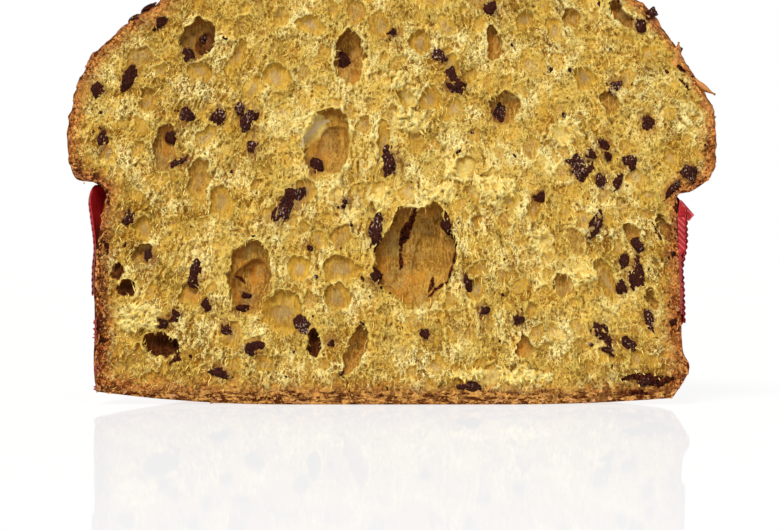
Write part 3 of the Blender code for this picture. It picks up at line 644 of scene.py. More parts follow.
def press_cells(cells, warp, roundness):
    """Return how deep cells lie, their smooth walls, how dark their walls are painted, the painted
    shade inside their upper left rims, their pale middles and their rims.
    """
    found = {}
    for key in ("deep", "wall", "brown", "painted_shade", "core", "push_x", "push_z", "rims"):
        found[key] = np.zeros_like(face_x)
    for x, z, width, tall, lean, deep, brown in cells:
        span = 0.7 * max(width, tall) + 1.5
        spot = []
        for middle_at, line in ((x, across), (z, upward)):
            first = max(0, int((middle_at - span - line[0]) / STEP))
            last = min(len(line), int((middle_at + span - line[0]) / STEP) + 2)
            spot.append(slice(first, last))
        spot = tuple(spot)
        off_x = face_x[spot] + warp * warp_x[spot] - x
        off_z = face_z[spot] + warp * warp_z[spot] - z
        side, long = turned(off_x, off_z, lean)
        side = side * 2.0 / width
        long = long * 2.0 / tall
        spread = np.sqrt(side ** 2 + long ** 2)
        if tall > GREAT:
            mouth_turn = np.degrees(np.arctan2(off_z, off_x))
            mouth = np.interp(mouth_turn, mouth_turns, mouth_reach, period=360.0)
            spread = np.hypot(off_x, off_z) / mouth
        slope = 0.66 + 0.34 * np.clip(long, -1.0, 1.0)
        bowl = deep * slope * np.clip(1.0 - spread ** 2, 0.0, 1.0) ** roundness
        low_edge = -0.35 - 0.7 * smoothstep(0.6, 0.9, brown)
        cover = smoothstep(1.0, 0.85, spread) * smoothstep(low_edge - 0.8, low_edge, long)
        ring = np.exp(-((spread - 1.04) / (0.35 / width + 0.03)) ** 2)
        ring *= np.clip(0.55 + 0.6 * long - 0.3 * side, 0.1, 1.0) * min(1.0, width / 5.0)
        least = 0.36 if deep > 9.0 else 0.06
        # Painted shade: darker inside the upper and left rim, which the lamp at the upper left
        # does not reach
        painted_shade = np.clip(0.35 + 0.65 * long - 0.55 * side, least, 1.0)
        painted_shade *= smoothstep(0.6, 0.98, spread) * (spread < 1.02)
        painted_shade *= 0.25 + 0.75 * min(1.0, deep / 3.5)
        core = np.clip(1.0 - spread / 0.75, 0.0, 1.0) * min(1.0, width / 6.0)
        apart = np.hypot(off_x, off_z) + 1e-6
        push = 0.4 * bowl * np.clip(spread, 0.0, 1.0) ** 3 * (width > 4.0)
        newer = bowl > found["deep"][spot]
        for key, values in (("deep", bowl), ("wall", cover), ("brown", brown),
                            ("painted_shade", painted_shade), ("core", core),
                            ("push_x", push * off_x / apart), ("push_z", push * off_z / apart)):
            found[key][spot] = np.where(newer, values, found[key][spot])
        found["rims"][spot] = np.maximum(found["rims"][spot], ring)
    return found


warp_x = 1.3 * swirl(face_x, face_z, 5.0, 1) + 0.55 * swirl(face_x, face_z, 1.6, 2)
warp_z = 1.3 * swirl(face_x, face_z, 5.0, 3) + 0.55 * swirl(face_x, face_z, 1.6, 4)
medium = scatter_cells(3.0, 8.0, 2600, HOLES, 1.0, (0.04, 0.2))
small = scatter_cells(1.2, 3.0, 12000, [], 0.92, (0.1, 0.34))
pores = scatter_cells(0.8, 1.5, 12000, [], 0.95, (0.2, 0.7))
open_holes = []
for *outline, deep, brown in HOLES:
    deep *= 0.5 + 0.5 * smoothstep(0.5, 0.75, brown)
    open_holes.append((*outline, deep, brown))
holes = press_cells(open_holes, 1.0, 0.55)
nested = press_cells(NESTED, 0.7, 0.4)
middle = press_cells(medium, 1.3, 0.9)
little = press_cells(small, 0.7, 0.6)
tiny = press_cells(pores, 0.3, 0.7)

plainness = 0.2 + 0.7 * smoothstep(0.0, 0.45, middle["brown"])
open_wall = np.maximum(holes["wall"] * 0.96, middle["wall"] * plainness * 0.8)
torn = 1.0 - open_wall
ridges = veins(face_x + warp_x, face_z + warp_z, 1.9, 5)
flakes = veins(face_x + 0.6 * warp_z, face_z + 0.6 * warp_x, 0.95, 6)
broad = 0.5 + 0.5 * swirl(face_x, face_z, 11.0, 7)
bulky = 0.5 + 0.5 * swirl(face_x, face_z, 4.2, 8)
# The strands fan out from a point over the dome, as the dough was drawn up from below
FAN_TOP = 230.0
ray_u = np.arctan2(face_x, FAN_TOP - face_z) * 190.0
ray_v = np.hypot(face_x, FAN_TOP - face_z)
strands = veins(ray_u + 0.5 * warp_x, (ray_v + warp_z) / 3.6, 1.0, 13)
strands_fine = veins(ray_u + 0.4 * warp_z, (ray_v + warp_x) / 3.0, 0.55, 14)
stringy = smoothstep(-0.35, 0.45, swirl(face_x, face_z, 17.0, 16))
pulled = np.exp(-((face_x - 28.0) / 30.0) ** 2 - ((face_z - 36.0) / 26.0) ** 2)
stringy = np.maximum(stringy, pulled)
combed = swirl(ray_u + 0.8 * warp_x, (ray_v + 2.0 * warp_z) / 7.0, 1.3, 26)
combed = stringy * (combed + 0.6 * swirl(ray_u + 0.6 * warp_z, ray_v / 6.0, 0.8, 27))
depth = 0.35 + 1.9 * broad + 1.3 * bulky
depth += holes["deep"] + nested["deep"] * (holes["wall"] > 0.3)
depth += middle["deep"] * (1.0 - 0.55 * holes["wall"])
depth += little["deep"] * (1.0 - 0.78 * open_wall) * (1.1 - 0.5 * stringy)
depth += tiny["deep"] * (1.0 - 0.9 * open_wall)
depth -= torn * (0.14 * ridges + 0.2 * flakes)
depth -= torn * ((0.2 + 0.2 * stringy) * strands + 0.22 * strands_fine)
depth -= torn * 0.5 * combed
depth += (0.03 + 0.07 * torn) * rng.uniform(-1.0, 1.0, face_x.shape)
depth += open_wall * (0.16 * strands - 0.45 * swirl(face_x, face_z, 3.4, 15))
depth -= 0.3 * np.maximum(middle["rims"], holes["rims"])

# Tufts where the knife pulled the crumb out, as x, height, width, tallness and how proud
TUFTS = (
    (4.4, 110.0, 7.0, 6.0, 2.0), (7.4, 104.0, 5.0, 6.0, 2.1), (4.4, 97.0, 7.0, 6.0, 1.9),
    (10.0, 96.0, 6.0, 5.0, 1.6), (35.8, 73.0, 14.0, 8.0, 1.8), (24.0, 79.0, 9.0, 6.0, 1.5),
    (66.0, 44.0, 12.0, 7.0, 1.4), (-24.0, 93.0, 6.0, 8.0, 1.2), (-84.0, 29.0, 14.0, 8.0, 1.4),
    (46.0, 9.5, 22.0, 6.0, 1.4), (18.0, 72.0, 12.0, 6.0, 1.2), (28.0, 10.0, 14.0, 4.0, 1.1),
    (60.0, 92.0, 10.0, 8.0, 0.9), (-2.0, 70.0, 9.0, 6.0, 1.0), (52.0, 56.0, 9.0, 7.0, 1.2),
)
fluff = np.zeros_like(face_x)
for x, z, width, tall, proud in TUFTS:
    spread = ((face_x + 2.0 * warp_x - x) * 2.0 / width) ** 2
    spread += ((face_z + 2.0 * warp_z - z) * 2.0 / tall) ** 2
    bulge = smoothstep(1.7, 0.35, spread)
    fluff = np.maximum(fluff, bulge)
    depth -= proud * bulge * (0.45 + 0.75 * ridges) * torn

edge_near = smoothstep(2.4, 0.3, rind)
gritty = 0.45 * swirl(face_x, face_z, 1.1, 9) + 0.35 * swirl(face_x, face_z, 2.1, 21)
depth = depth * (1.0 - 0.6 * edge_near) + edge_near * (0.45 + gritty)
depth += 0.8 * smoothstep(5.0, 2.0, rind) * smoothstep(0.5, 2.0, rind) * gritty
depth = np.maximum(depth, -1.1)
hollow = blurred(depth, 3)
proud = np.clip((hollow - depth) / 0.75, -1.0, 1.0)
shake_x = 0.16 * swirl(face_x, face_z, 1.1, 10) * (1.0 - edge_near)
shake_z = 0.16 * swirl(face_x, face_z, 1.1, 11) * (1.0 - edge_near)
place_x = face_x + holes["push_x"] + middle["push_x"] + shake_x
place_z = face_z + holes["push_z"] + middle["push_z"] + shake_z
place_y = CUT + depth
patch = inside[:-1, :-1].astype(int) + inside[1:, :-1] + inside[:-1, 1:] + inside[1:, 1:] >= 3
touching = np.zeros(face_x.shape, dtype=int)
for i_part in (slice(None, -1), slice(1, None)):
    for j_part in (slice(None, -1), slice(1, None)):
        touching[i_part, j_part] += patch
run = rim_next - rim
for i, j in zip(*np.nonzero((touching > 0) & (touching < 4))):
    here = np.array([face_x[i, j], face_z[i, j]])
    share = ((here - rim) * run).sum(axis=1) / ((run ** 2).sum(axis=1) + 1e-12)
    nearest = rim + np.clip(share, 0.0, 1.0)[:, None] * run
    place_x[i, j], place_z[i, j] = nearest[np.argmin(((nearest - here) ** 2).sum(axis=1))]

# The broken drops of chocolate on the face: x, height, width, tallness and lean to the right
CHIPS = (
    (-87.5, 110.5, 3.6, 7.8, 20), (-98.0, 106.5, 3.6, 4.4, 0), (-77.4, 129.8, 3.4, 5.2, 32),
    (-67.9, 97.0, 4.4, 5.4, 0), (-56.8, 97.7, 3.6, 6.8, 8), (-47.4, 96.4, 4.8, 7.4, -12),
    (-49.4, 100.2, 3.6, 3.8, 0), (-45.0, 97.8, 2.6, 4.4, 15), (-67.6, 118.0, 3.4, 3.8, 0),
    (-62.2, 124.0, 3.2, 3.4, 0), (-72.7, 90.9, 3.4, 4.4, 0), (-96.3, 88.6, 3.2, 8.5, 4),
    (-69.8, 82.3, 2.6, 5.0, 65), (-45.6, 86.2, 4.4, 4.8, 12), (-88.2, 63.5, 3.8, 3.8, 0),
    (-14.9, 115.9, 3.4, 4.4, 0), (1.7, 125.0, 3.4, 3.4, 0), (17.9, 117.6, 4.1, 4.1, 0),
    (22.6, 108.8, 6.1, 8.1, -8), (35.2, 133.8, 4.4, 3.6, 0), (37.2, 98.5, 4.4, 7.4, 0),
    (-24.7, 80.8, 4.8, 6.1, 10), (-30.8, 69.6, 6.1, 7.8, -24), (-35.5, 64.9, 4.8, 9.5, 20),
    (1.4, 82.5, 5.1, 8.5, 6), (-3.7, 59.5, 4.1, 9.5, 4), (20.6, 60.5, 3.4, 4.4, 0),
    (-4.1, 42.6, 3.8, 5.1, 0), (-80.1, 50.7, 3.4, 4.4, 0), (-64.6, 43.3, 4.1, 8.8, 6),
    (-76.0, 27.7, 3.6, 3.8, 0), (-72.3, 29.7, 3.4, 3.8, 0), (-60.8, 33.5, 3.4, 3.8, 0),
    (-54.4, 26.0, 4.1, 4.4, 0), (-44.6, 18.9, 5.8, 4.8, 10), (-55.8, 11.2, 6.8, 3.6, 6),
    (-28.7, 26.7, 4.1, 5.4, 0), (-18.6, 21.3, 3.4, 3.8, 0), (12.8, 23.7, 3.4, 3.8, 0),
    (27.0, 41.9, 2.6, 6.8, 0), (32.8, 31.4, 3.4, 3.4, 0), (44.3, 28.4, 4.8, 3.6, 0),
    (71.6, 24.9, 4.4, 4.8, 0), (84.5, 44.3, 4.1, 9.5, -8), (80.1, 48.3, 3.2, 4.4, 0),
    (80.1, 38.9, 3.6, 5.1, 0), (88.7, 28.7, 3.0, 9.4, -27), (82.0, 20.4, 2.8, 4.8, -50),
    (97.2, 28.2, 4.8, 2.6, 0), (28.4, 6.1, 6.1, 2.9, 0), (86.9, 7.9, 4.8, 3.4, 0),
    (65.4, 81.0, 7.8, 8.8, 22), (72.9, 88.0, 3.6, 3.6, 0), (73.2, 75.0, 3.4, 6.4, -6),
    (51.7, 70.6, 3.6, 5.1, 24), (70.5, 61.0, 3.2, 8.6, 30), (77.4, 108.2, 4.4, 4.8, 0),
    (88.2, 96.0, 4.1, 4.8, 0), (82.1, 82.0, 3.6, 4.4, 0), (85.2, 53.7, 3.6, 4.4, 0),
    (102.4, 78.0, 4.8, 5.2, 40), (96.8, 72.8, 2.4, 8.4, 30), (85.2, 128.1, 3.4, 5.1, -34),
    (-13.6, 69.0, 2.6, 1.8, -30), (-26.2, 52.8, 2.2, 1.4, 10), (-48.4, 36.6, 3.2, 2.4, 0),
    (-49.4, 32.2, 4.6, 2.8, -10), (-15.3, 66.8, 1.6, 2.2, 40), (96.2, 50.8, 3.8, 3.2, 0),
    (68.8, 84.6, 3.4, 3.2, 30), (65.4, 77.4, 3.0, 3.0, 10), (78.0, 74.6, 2.8, 5.6, 20),
    (74.8, 84.4, 1.8, 3.0, -20), (75.6, 21.4, 2.2, 5.2, -45), (75.0, 18.2, 1.8, 4.4, -60),
)
stain = np.zeros_like(face_x)
for x, z, width, tall, lean in CHIPS:
    side, long = turned(face_x + 1.2 * warp_x - x, face_z + 1.2 * warp_z - z, lean)
    side = side / (0.5 * width + 1.3)
    long = long / (0.5 * tall + 1.3)
    stain = np.maximum(stain, np.exp(-0.9 * (side ** 2 + long ** 2)))

# Chocolate that melted and ran, in the holes and along the edge: x, height and half width
# along each line
SMEARS = (
    ((10.6, 66.0, 0.5), (9.0, 62.5, 0.8), (7.0, 59.0, 1.5), (6.0, 56.5, 1.5), (5.0, 54.0, 0.6),
     (4.7, 50.0, 0.45), (4.8, 47.4, 0.7), (4.8, 45.8, 0.4)),
    ((20.6, 63.5, 0.5), (20.8, 61.0, 0.9), (21.4, 57.6, 0.7), (21.8, 55.0, 0.3)),
    ((22.6, 44.0, 0.3), (19.6, 42.0, 0.5), (17.6, 40.4, 0.6), (14.0, 37.0, 0.5)),
    ((-2.6, 62.0, 0.6), (-4.0, 58.0, 0.5), (-5.6, 53.0, 0.5)),
    ((-51.0, 43.0, 0.4), (-49.4, 42.2, 0.6), (-48.4, 40.8, 0.3)),
    ((3.9, 66.0, 0.7), (1.8, 60.5, 0.6), (-1.2, 55.0, 0.5), (-3.6, 51.0, 0.3)),
    ((19.6, 65.6, 0.3), (21.0, 58.0, 0.9), (22.6, 53.0, 0.5), (21.4, 46.5, 0.7),
     (19.4, 41.0, 0.4)),
    ((15.4, 43.0, 0.3), (14.8, 40.6, 0.8), (14.0, 38.6, 0.4)),
    ((79.5, 8.2, 0.5), (84.0, 9.4, 1.4), (88.0, 8.6, 2.1), (92.0, 7.8, 1.8), (96.5, 8.8, 1.0)),
    ((82.6, 4.4, 0.9), (87.6, 3.6, 0.8)),
    ((90.2, 61.0, 0.3), (91.4, 58.4, 0.5), (92.6, 55.8, 0.4)),
    ((-95.0, 72.5, 0.5), (-94.4, 69.5, 0.9), (-93.6, 66.4, 0.4)),
    ((98.0, 68.2, 0.6), (97.5, 66.6, 0.9), (98.0, 65.0, 0.4)),
    ((-97.4, 23.4, 0.4), (-95.8, 22.0, 1.0), (-94.0, 22.4, 0.3)),
    ((-95.6, 54.8, 0.5), (-95.0, 53.4, 0.9), (-94.4, 50.6, 0.3)),
    ((97.0, 115.4, 0.4), (99.2, 114.0, 0.7), (101.0, 112.4, 0.5), (103.2, 110.8, 0.4)),
    ((98.9, 110.4, 0.3), (100.4, 108.6, 0.5), (101.6, 106.6, 0.5)),
    ((-74.5, 22.6, 0.5), (-72.0, 20.6, 1.3), (-70.4, 15.6, 1.0), (-73.6, 14.0, 0.5)),
)
# A torn skin that hangs over the mouth of the hole left of the middle, with the same values
FLAPS = (
    ((-29.4, 87.6, 0.5), (-27.6, 89.6, 0.9), (-25.8, 91.6, 0.8), (-23.4, 94.4, 0.9),
     (-19.8, 95.8, 0.5)),
)


def drawn(lines):
    """Return 1 over the face along lines of places and half widths, and 0 off them."""
    mark = np.zeros_like(face_x)
    for line in lines:
        for (x1, z1, wide1), (x2, z2, wide2) in zip(line[:-1], line[1:]):
            run = np.array([x2 - x1, z2 - z1])
            share = ((face_x - x1) * run[0] + (face_z - z1) * run[1]) / (run @ run)
            share = np.clip(share, 0.0, 1.0)
            far = np.hypot(face_x + 0.35 * warp_x - x1 - share * run[0],
                           face_z + 0.35 * warp_z - z1 - share * run[1])
            wide = wide1 + (wide2 - wide1) * share
            mark = np.maximum(mark, smoothstep(1.6, 0.4, far / wide))
    return mark


smear = drawn(SMEARS)
flap = drawn(FLAPS)

# How thick the crust is along the cut, against the usual, at the right and at the left
thick_right = np.interp(face_z, (14.0, 34.0, 44.0, 66.0, 76.0, 92.0, 104.0, 128.0, 138.0),
                        (1.0, 1.0, 0.62, 0.5, 0.85, 0.8, 0.4, 0.45, 0.7))
thick_left = np.interp(face_z, (12.0, 34.0, 50.0, 70.0, 80.0, 120.0, 135.0),
                       (1.15, 1.05, 0.8, 0.75, 0.8, 0.75, 0.9))
to_right = smoothstep(-25.0, 25.0, face_x)
crusty = rind / (thick_left * (1.0 - to_right) + thick_right * to_right)

brown = np.maximum(holes["wall"] * holes["brown"], middle["wall"] * middle["brown"] * 0.6)
brown = np.where((nested["wall"] > 0.4) & (holes["wall"] > 0.5), nested["brown"], brown)
# Painted shade in pinholes: darker the deeper the small cells and pores sink into the torn crumb
pinhole = np.clip(little["deep"] * 0.9, 0.0, 1.0) * little["brown"] * torn
pinhole = np.maximum(pinhole, np.clip(tiny["deep"] * 1.8, 0.0, 1.0) * tiny["brown"] * torn)
tone = 0.55 * swirl(face_x, face_z, 24.0, 17) + 0.5 * swirl(face_x, face_z, 10.0, 18)
tone += 0.5 * swirl(face_x + warp_x, face_z + warp_z, 4.6, 19)
tone += 0.3 * swirl(face_x, face_z, 2.2, 20)
tone -= 0.35 * smoothstep(16.0, 3.0, 100.0 - np.abs(face_x)) * (face_z < 90.0)
tone -= 0.28 * smoothstep(-10.0, -70.0, face_x) + 0.3 * smoothstep(30.0, 8.0, face_z)
# Painted shade inside the upper left rims of the holes and cells
painted_shade = np.maximum(holes["painted_shade"], middle["painted_shade"])
painted_shade = np.maximum(painted_shade, nested["painted_shade"] * (holes["wall"] > 0.5) * 0.8)
core = np.maximum(holes["core"] * (1.0 - smoothstep(0.6, 0.8, holes["brown"])), middle["core"])
warmth = swirl(face_x, face_z, 9.0, 22) + 0.6 * swirl(face_x + warp_x, face_z + warp_z, 3.8, 23)
creamy = swirl(face_x, face_z, 12.0, 24) + 0.7 * swirl(face_x + warp_z, face_z + warp_x, 4.5, 25)
thread = np.maximum(middle["rims"], holes["rims"] * 0.8)
crumb_facts = {
    "tone": tone, "painted_shade": painted_shade, "core": core, "thread": thread, "stain": stain,
    "warmth": warmth, "creamy": creamy, "flap": flap, "combed": combed,
    "proud": proud, "brown": brown, "open_wall": open_wall, "pinhole": pinhole,
    "crusty": crusty, "smear": smear, "fluff": fluff,
}


def crumb_half(name, first):
    """Make one half of the crumb's face, from a first column on to the next middle or edge."""
    columns = HALF_COLUMNS + 1
    piece = grid_piece(name, columns, FACE_ROWS)
    i, j = grid_places(piece, columns, FACE_ROWS)
    i = i + first
    lay_points(piece, np.stack([place_x[i, j], place_y[i, j], place_z[i, j]], axis=1))
    for key, values in crumb_facts.items():
        keep_on_points(piece, key, values[i, j])
    corners = np.zeros(len(piece.data.polygons) * 4, dtype=np.int32)
    piece.data.polygons.foreach_get("vertices", corners)
    corners = corners.reshape(-1, 4)
    bpy.ops.object.mode_set(mode="EDIT")
    bpy.ops.mesh.select_mode(type="FACE")
    bpy.ops.object.mode_set(mode="OBJECT")
    piece.data.polygons.foreach_set("select", inside[i, j][corners].sum(axis=1) < 3)
    bpy.ops.object.mode_set(mode="EDIT")
    bpy.ops.mesh.delete(type="FACE")
    bpy.ops.object.mode_set(mode="OBJECT")
    tidy_surface(piece)
    return piece


golden = Recipe("golden_crumb")
high = golden.along(2)
grain = golden.speckle(0.45, 3.0, 0.7)
fleck = golden.speckle(1.4, 3.0, 0.6)
cloudy = golden.speckle(5.0, 3.0, 0.6)
patchy = golden.speckle(7.0, 2.0, 0.5, (1.0, 1.0, 1.6), 0.6)
fibre = golden.speckle(0.75, 3.0, 0.6, (1.0, 1.0, 4.5), 0.5)
skin_edge, skin_number = golden.foam(1.3, 0.9, (1.0, 1.0, 1.6))
fine_edge, fine_number = golden.foam(0.7, 0.9, (1.0, 1.0, 1.4))
crest = golden.kept("proud")
walls = golden.kept("open_wall")
puffy = golden.kept("fluff")
tone = golden.kept("tone") + (fleck - 0.5) * 1.0 + (grain - 0.5) * 1.2
warm = (golden.kept("warmth") + (cloudy - 0.5) * 1.2).between(-0.8, 0.8)
creamy = golden.kept("creamy") + puffy * 1.5 + (cloudy - 0.5) * 1.5
creamy = creamy.between(-0.5, 0.9)

# The torn crumb: darker to golden, with orange and grey spots, and cream on its threads; its
# raised crests carry a painted highlight, and its hollows and pits painted shade
golden.colour = golden.blend(tone.between(-1.0, 0.5),
                             golden.blend(warm, (144, 108, 34), (158, 104, 22)),
                             golden.blend(warm, (204, 172, 84), (220, 170, 66)))
golden.coat(golden.speckle(3.4, 2.0, 0.55).between(0.61, 0.7) * 0.5, (190, 112, 26))
grey_spots = golden.speckle(4.2, 2.0, 0.5, (1.0, 1.0, 1.3)).between(0.6, 0.72)
golden.coat(grey_spots * 0.5, (170, 142, 86))
threads = (0.12 - skin_edge).between(0.0, 0.07) * 0.6
threads = threads + (0.12 - fine_edge).between(0.0, 0.07) * 0.45
threads = threads + (fibre - 0.5).between(0.05, 0.13) * 0.5
combed = golden.kept("combed")
# Cream on the threads and in creamy patches, and a painted highlight on the raised crests and
# raised combed strands
pale_share = crest * 0.6 + threads + tone * 0.25 + creamy * 0.4 + combed * 0.5 - 0.22
golden.coat(pale_share.between(0.05, 1.1), golden.blend(creamy, (232, 196, 92), (253, 236, 158)))
# Painted shade in the hollows of some fine foam cells, away from the raised crests
hollow_share = (skin_number.between(0.6, 0.8) * skin_edge.between(0.12, 0.24)
                + fine_number.between(0.6, 0.8) * fine_edge.between(0.12, 0.24))
golden.coat(hollow_share * (0.7 - crest * 0.8).between(0.0, 1.0) * 0.6, (132, 84, 12))
# Painted shade in small sunken pits, which the relief also sinks
pits = golden.speckle(0.85, 2.0, 0.6, (1.0, 1.0, 1.5), 0.3) - tone * 0.035 - puffy * 0.06
pits = pits.between(0.585, 0.64) * (0.85 - crest * 0.5).between(0.0, 1.0)
golden.coat(pits * 0.7, (106, 62, 12))
# Painted shade where the surface lies below its surroundings
golden.coat((0.0 - crest).between(0.2, 0.95) * 0.7, (120, 66, 6))
# Painted shade in the grooves between the combed strands
golden.coat((0.0 - combed).between(0.25, 0.8) * 0.35, (134, 86, 18))

# The smooth walls of the larger cells, in four grades from golden to near black; the darkest grade
# is painted shade in holes that lie in shadow
brown = golden.kept("brown")
pale_middle = golden.kept("core") * (fleck + 0.4)
streaks = fibre * 0.6 + patchy * 0.4
soft_wall = golden.blend((fibre * 0.6 + cloudy * 0.4).between(0.38, 0.6), (186, 136, 30),
                         (216, 172, 62))
soft_wall = golden.blend((pale_middle * 1.3).between(0.1, 1.0), soft_wall, (180, 148, 104))
mid_wall = golden.blend(streaks.between(0.38, 0.6), (146, 98, 18), (190, 142, 44))
mid_wall = golden.blend((pale_middle * 1.2).between(0.1, 1.0), mid_wall, (158, 128, 80))
brown_wall = golden.blend(streaks.between(0.43, 0.56), (124, 72, 12), (180, 130, 54))
brown_wall = golden.blend(patchy.between(0.52, 0.62) * 0.75, brown_wall, (176, 102, 14))
brown_wall = golden.blend(cloudy.between(0.52, 0.64) * 0.65, brown_wall, (160, 128, 70))
dark_wall = golden.blend(fibre.between(0.32, 0.68), (42, 16, 4), (94, 48, 14))
smooth_wall = golden.blend(brown.between(0.15, 0.5), soft_wall, mid_wall)
smooth_wall = golden.blend(brown.between(0.45, 0.8), smooth_wall, brown_wall)
smooth_wall = golden.blend(brown.between(0.85, 1.15), smooth_wall, dark_wall)
golden.coat((walls * 1.08).least(1.0), smooth_wall)
golden.coat(walls * threads * (1.15 - brown).between(0.0, 0.45) * 0.25, (226, 192, 98))
# Painted shade inside the upper left rims of the cells, browner in the brown holes
golden.coat(golden.kept("painted_shade").between(0.0, 0.8) * 0.7,
            golden.blend(brown.between(0.3, 0.75), (138, 90, 16), (112, 52, 2)))
# Painted shade in the pinholes
golden.coat(golden.kept("pinhole").between(0.2, 0.8) * 0.6, (112, 62, 10))
golden.coat(golden.kept("thread").between(0.15, 0.9) * 0.55, (244, 214, 116))
golden.coat(puffy * (fleck + 0.1) * 0.8, (252, 228, 132))
golden.coat((golden.kept("stain") + (fleck - 0.5) * 0.8).between(0.2, 1.0) * 0.75,
            golden.blend(grain.between(0.35, 0.65), (90, 44, 18), (162, 102, 54)))
golden.coat((golden.kept("flap") + (fleck - 0.5) * 0.9).between(0.35, 0.6) * 0.8, (200, 174, 132))

# The browned rind: tan, then dark, paler round the dome than at the foot, and layers below
domed = high.between(72.0, 104.0)
grit = golden.speckle(1.0, 3.0, 0.75)
blotch = golden.speckle(3.0, 3.0, 0.65)
swathe = golden.speckle(7.5, 2.0, 0.5)
grains = golden.speckle(0.85, 2.0, 0.7).between(0.58, 0.66)
tan = golden.blend(grit.between(0.43, 0.57), golden.blend(domed, (88, 30, 6), (136, 58, 8)),
                   golden.blend(domed, (226, 146, 70), (255, 188, 96)))
tan = golden.blend(blotch.between(0.5, 0.6) * 0.6, tan,
                   golden.blend(domed, (104, 38, 10), (134, 54, 10)))
tan = golden.blend(swathe.between(0.48, 0.36) * 0.5, tan, (226, 158, 70))
dark = golden.blend(grit.between(0.43, 0.6), golden.blend(domed, (50, 14, 4), (110, 42, 8)),
                    golden.blend(domed, (186, 92, 34), (238, 150, 66)))
dark = golden.blend(blotch.between(0.47, 0.57) * 0.6, dark,
                    golden.blend(domed, (84, 26, 8), (122, 44, 8)))
dark = golden.blend(swathe.between(0.5, 0.36) * 0.45, dark, (204, 124, 54))
edge = golden.kept("crusty") + (fleck - 0.5) * 4.5 + (cloudy - 0.5) * 5.0 + domed * 0.8
outer = edge.between(6.0, 3.0)
golden.coat(edge.between(9.5, 4.0) * 0.45, tan)
golden.coat(edge.between(5.8, 2.8) * 0.9, tan)
golden.coat(edge.between(3.0, 0.9) * 0.85, dark)
golden.coat(edge.between(5.0, 2.5) * high.between(46.0, 34.0) * 0.3, (118, 36, 6))
golden.coat(outer * swathe.between(0.53, 0.62) * blotch.between(0.4, 0.52) * 0.75,
            golden.blend(domed, (56, 16, 8), (112, 40, 8)))
golden.coat(outer * grains * 0.7, (240, 188, 112))
layers = golden.speckle(1.1, 3.0, 0.7, (4.0, 1.0, 1.0))
baked = golden.blend(layers.between(0.43, 0.56), (74, 28, 6), (222, 162, 84))
baked = golden.blend(blotch.between(0.49, 0.6) * 0.6, baked, (92, 40, 12))
base_band = (high + (fleck - 0.5) * 5.0 + (cloudy - 0.5) * 6.0).between(6.5, 3.0)
golden.coat(base_band * 0.88, baked)
burnt = golden.along(0).between(48.0, 84.0) * high.between(16.0, 8.0) * blotch.between(0.36, 0.56)
golden.coat(burnt * 0.5, (84, 32, 8))
smear = golden.kept("smear") + (fleck - 0.5) * 2.2 + (grain - 0.5) * 1.2
golden.coat(smear.between(0.42, 0.62),
            golden.blend(grit.between(0.42, 0.62), (30, 6, 4), (92, 38, 16)))
golden.shine(Roughness=0.6 + grain * 0.3, Specular_IOR_Level=0.06)
bumps = (skin_edge.least(0.3) + fine_edge.least(0.3)) * -1.2 * (1.0 - walls * 0.85)
bumps = bumps - pits * (1.0 - walls) * 0.8
golden.relief(grain + bumps + fibre * (0.7 + walls * 0.4), 0.45, 1.0)
for name, first in (("crumb_left", 0), ("crumb_right", HALF_COLUMNS)):
    half = crumb_half(name, first)
    half.data.materials.append(golden.material)
    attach(half, "root")
    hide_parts("loaf")


# The torn shreds: small curled scraps and threads of crumb that stand off the face where the
# walls broke, thickest on the tufts and round the mouths of the holes.
SHREDS = 5500
THREADS = 1000


def pick_places(likely, count):
    """Return the columns and rows of random places on the face, by how likely each is."""
    picks = rng.choice(likely.size, count, p=(likely / likely.sum()).ravel())
    return np.unravel_index(picks, likely.shape)


def on_face(x, z):
    """Return the columns and rows of the face's points that lie nearest to places."""
    i = np.rint((x - across[0]) / STEP).astype(int)
    j = np.rint((z - upward[0]) / STEP).astype(int)
    return np.clip(i, 0, face_x.shape[0] - 1), np.clip(j, 0, face_x.shape[1] - 1)


slope_x = np.gradient(place_y, STEP, axis=0)
slope_z = np.gradient(place_y, STEP, axis=1)
likely = 0.25 + np.clip(proud, 0.0, 1.0) ** 1.5 + 1.2 * fluff
likely = likely * (1.0 - open_wall) * inside * (rind > 1.2) * (0.4 + 0.6 * (rind > 5.0))
i, j = pick_places(likely + 1e-9 * inside, SHREDS)
root = np.stack([place_x[i, j], place_y[i, j] + 0.15, place_z[i, j]], axis=1)
root[:, [0, 2]] += rng.uniform(-0.3, 0.3, (SHREDS, 2))
out = np.stack([slope_x[i, j], -np.ones(SHREDS), slope_z[i, j]], axis=1)
out[:, [0, 2]] *= 0.35
out = unit(out)
turn = np.radians(90.0 + 30.0 * face_x[i, j] / 100.0 + rng.normal(0.0, 38.0, SHREDS))
turn += math.pi * rng.integers(0, 2, SHREDS)
lean = np.stack([np.cos(turn), np.zeros(SHREDS), np.sin(turn)], axis=1)
lean = unit(lean - out * (lean * out).sum(axis=1, keepdims=True))
side = np.cross(out, lean)
long = rng.uniform(0.5, 1.9, SHREDS) * (1.0 + 0.3 * fluff[i, j])
broadness = rng.uniform(0.12, 0.3, SHREDS) * (1.0 + 1.6 * fluff[i, j])
rise = rng.uniform(0.0, 0.5, SHREDS)
curl = rng.uniform(-0.8, 0.5, SHREDS)
points = []
for along, wide_here in ((0.0, 0.9), (0.35, 1.0), (0.7, 0.65), (1.0, 0.1)):
    for hand in (-0.5, 0.5):
        jag = rng.uniform(0.7, 1.3, SHREDS)
        point = root + lean * (long * along * np.cos(rise))[:, None]
        point += out * (long * (along * np.sin(rise) + curl * along ** 2 * 0.5))[:, None]
        point += side * (hand * wide_here * jag * broadness)[:, None]
        points.append(point)
points = np.stack(points, axis=1)
tip = on_face(points[:, -1, 0], points[:, -1, 2])
points = points[inside[tip] & (rind[tip] > 0.6)]

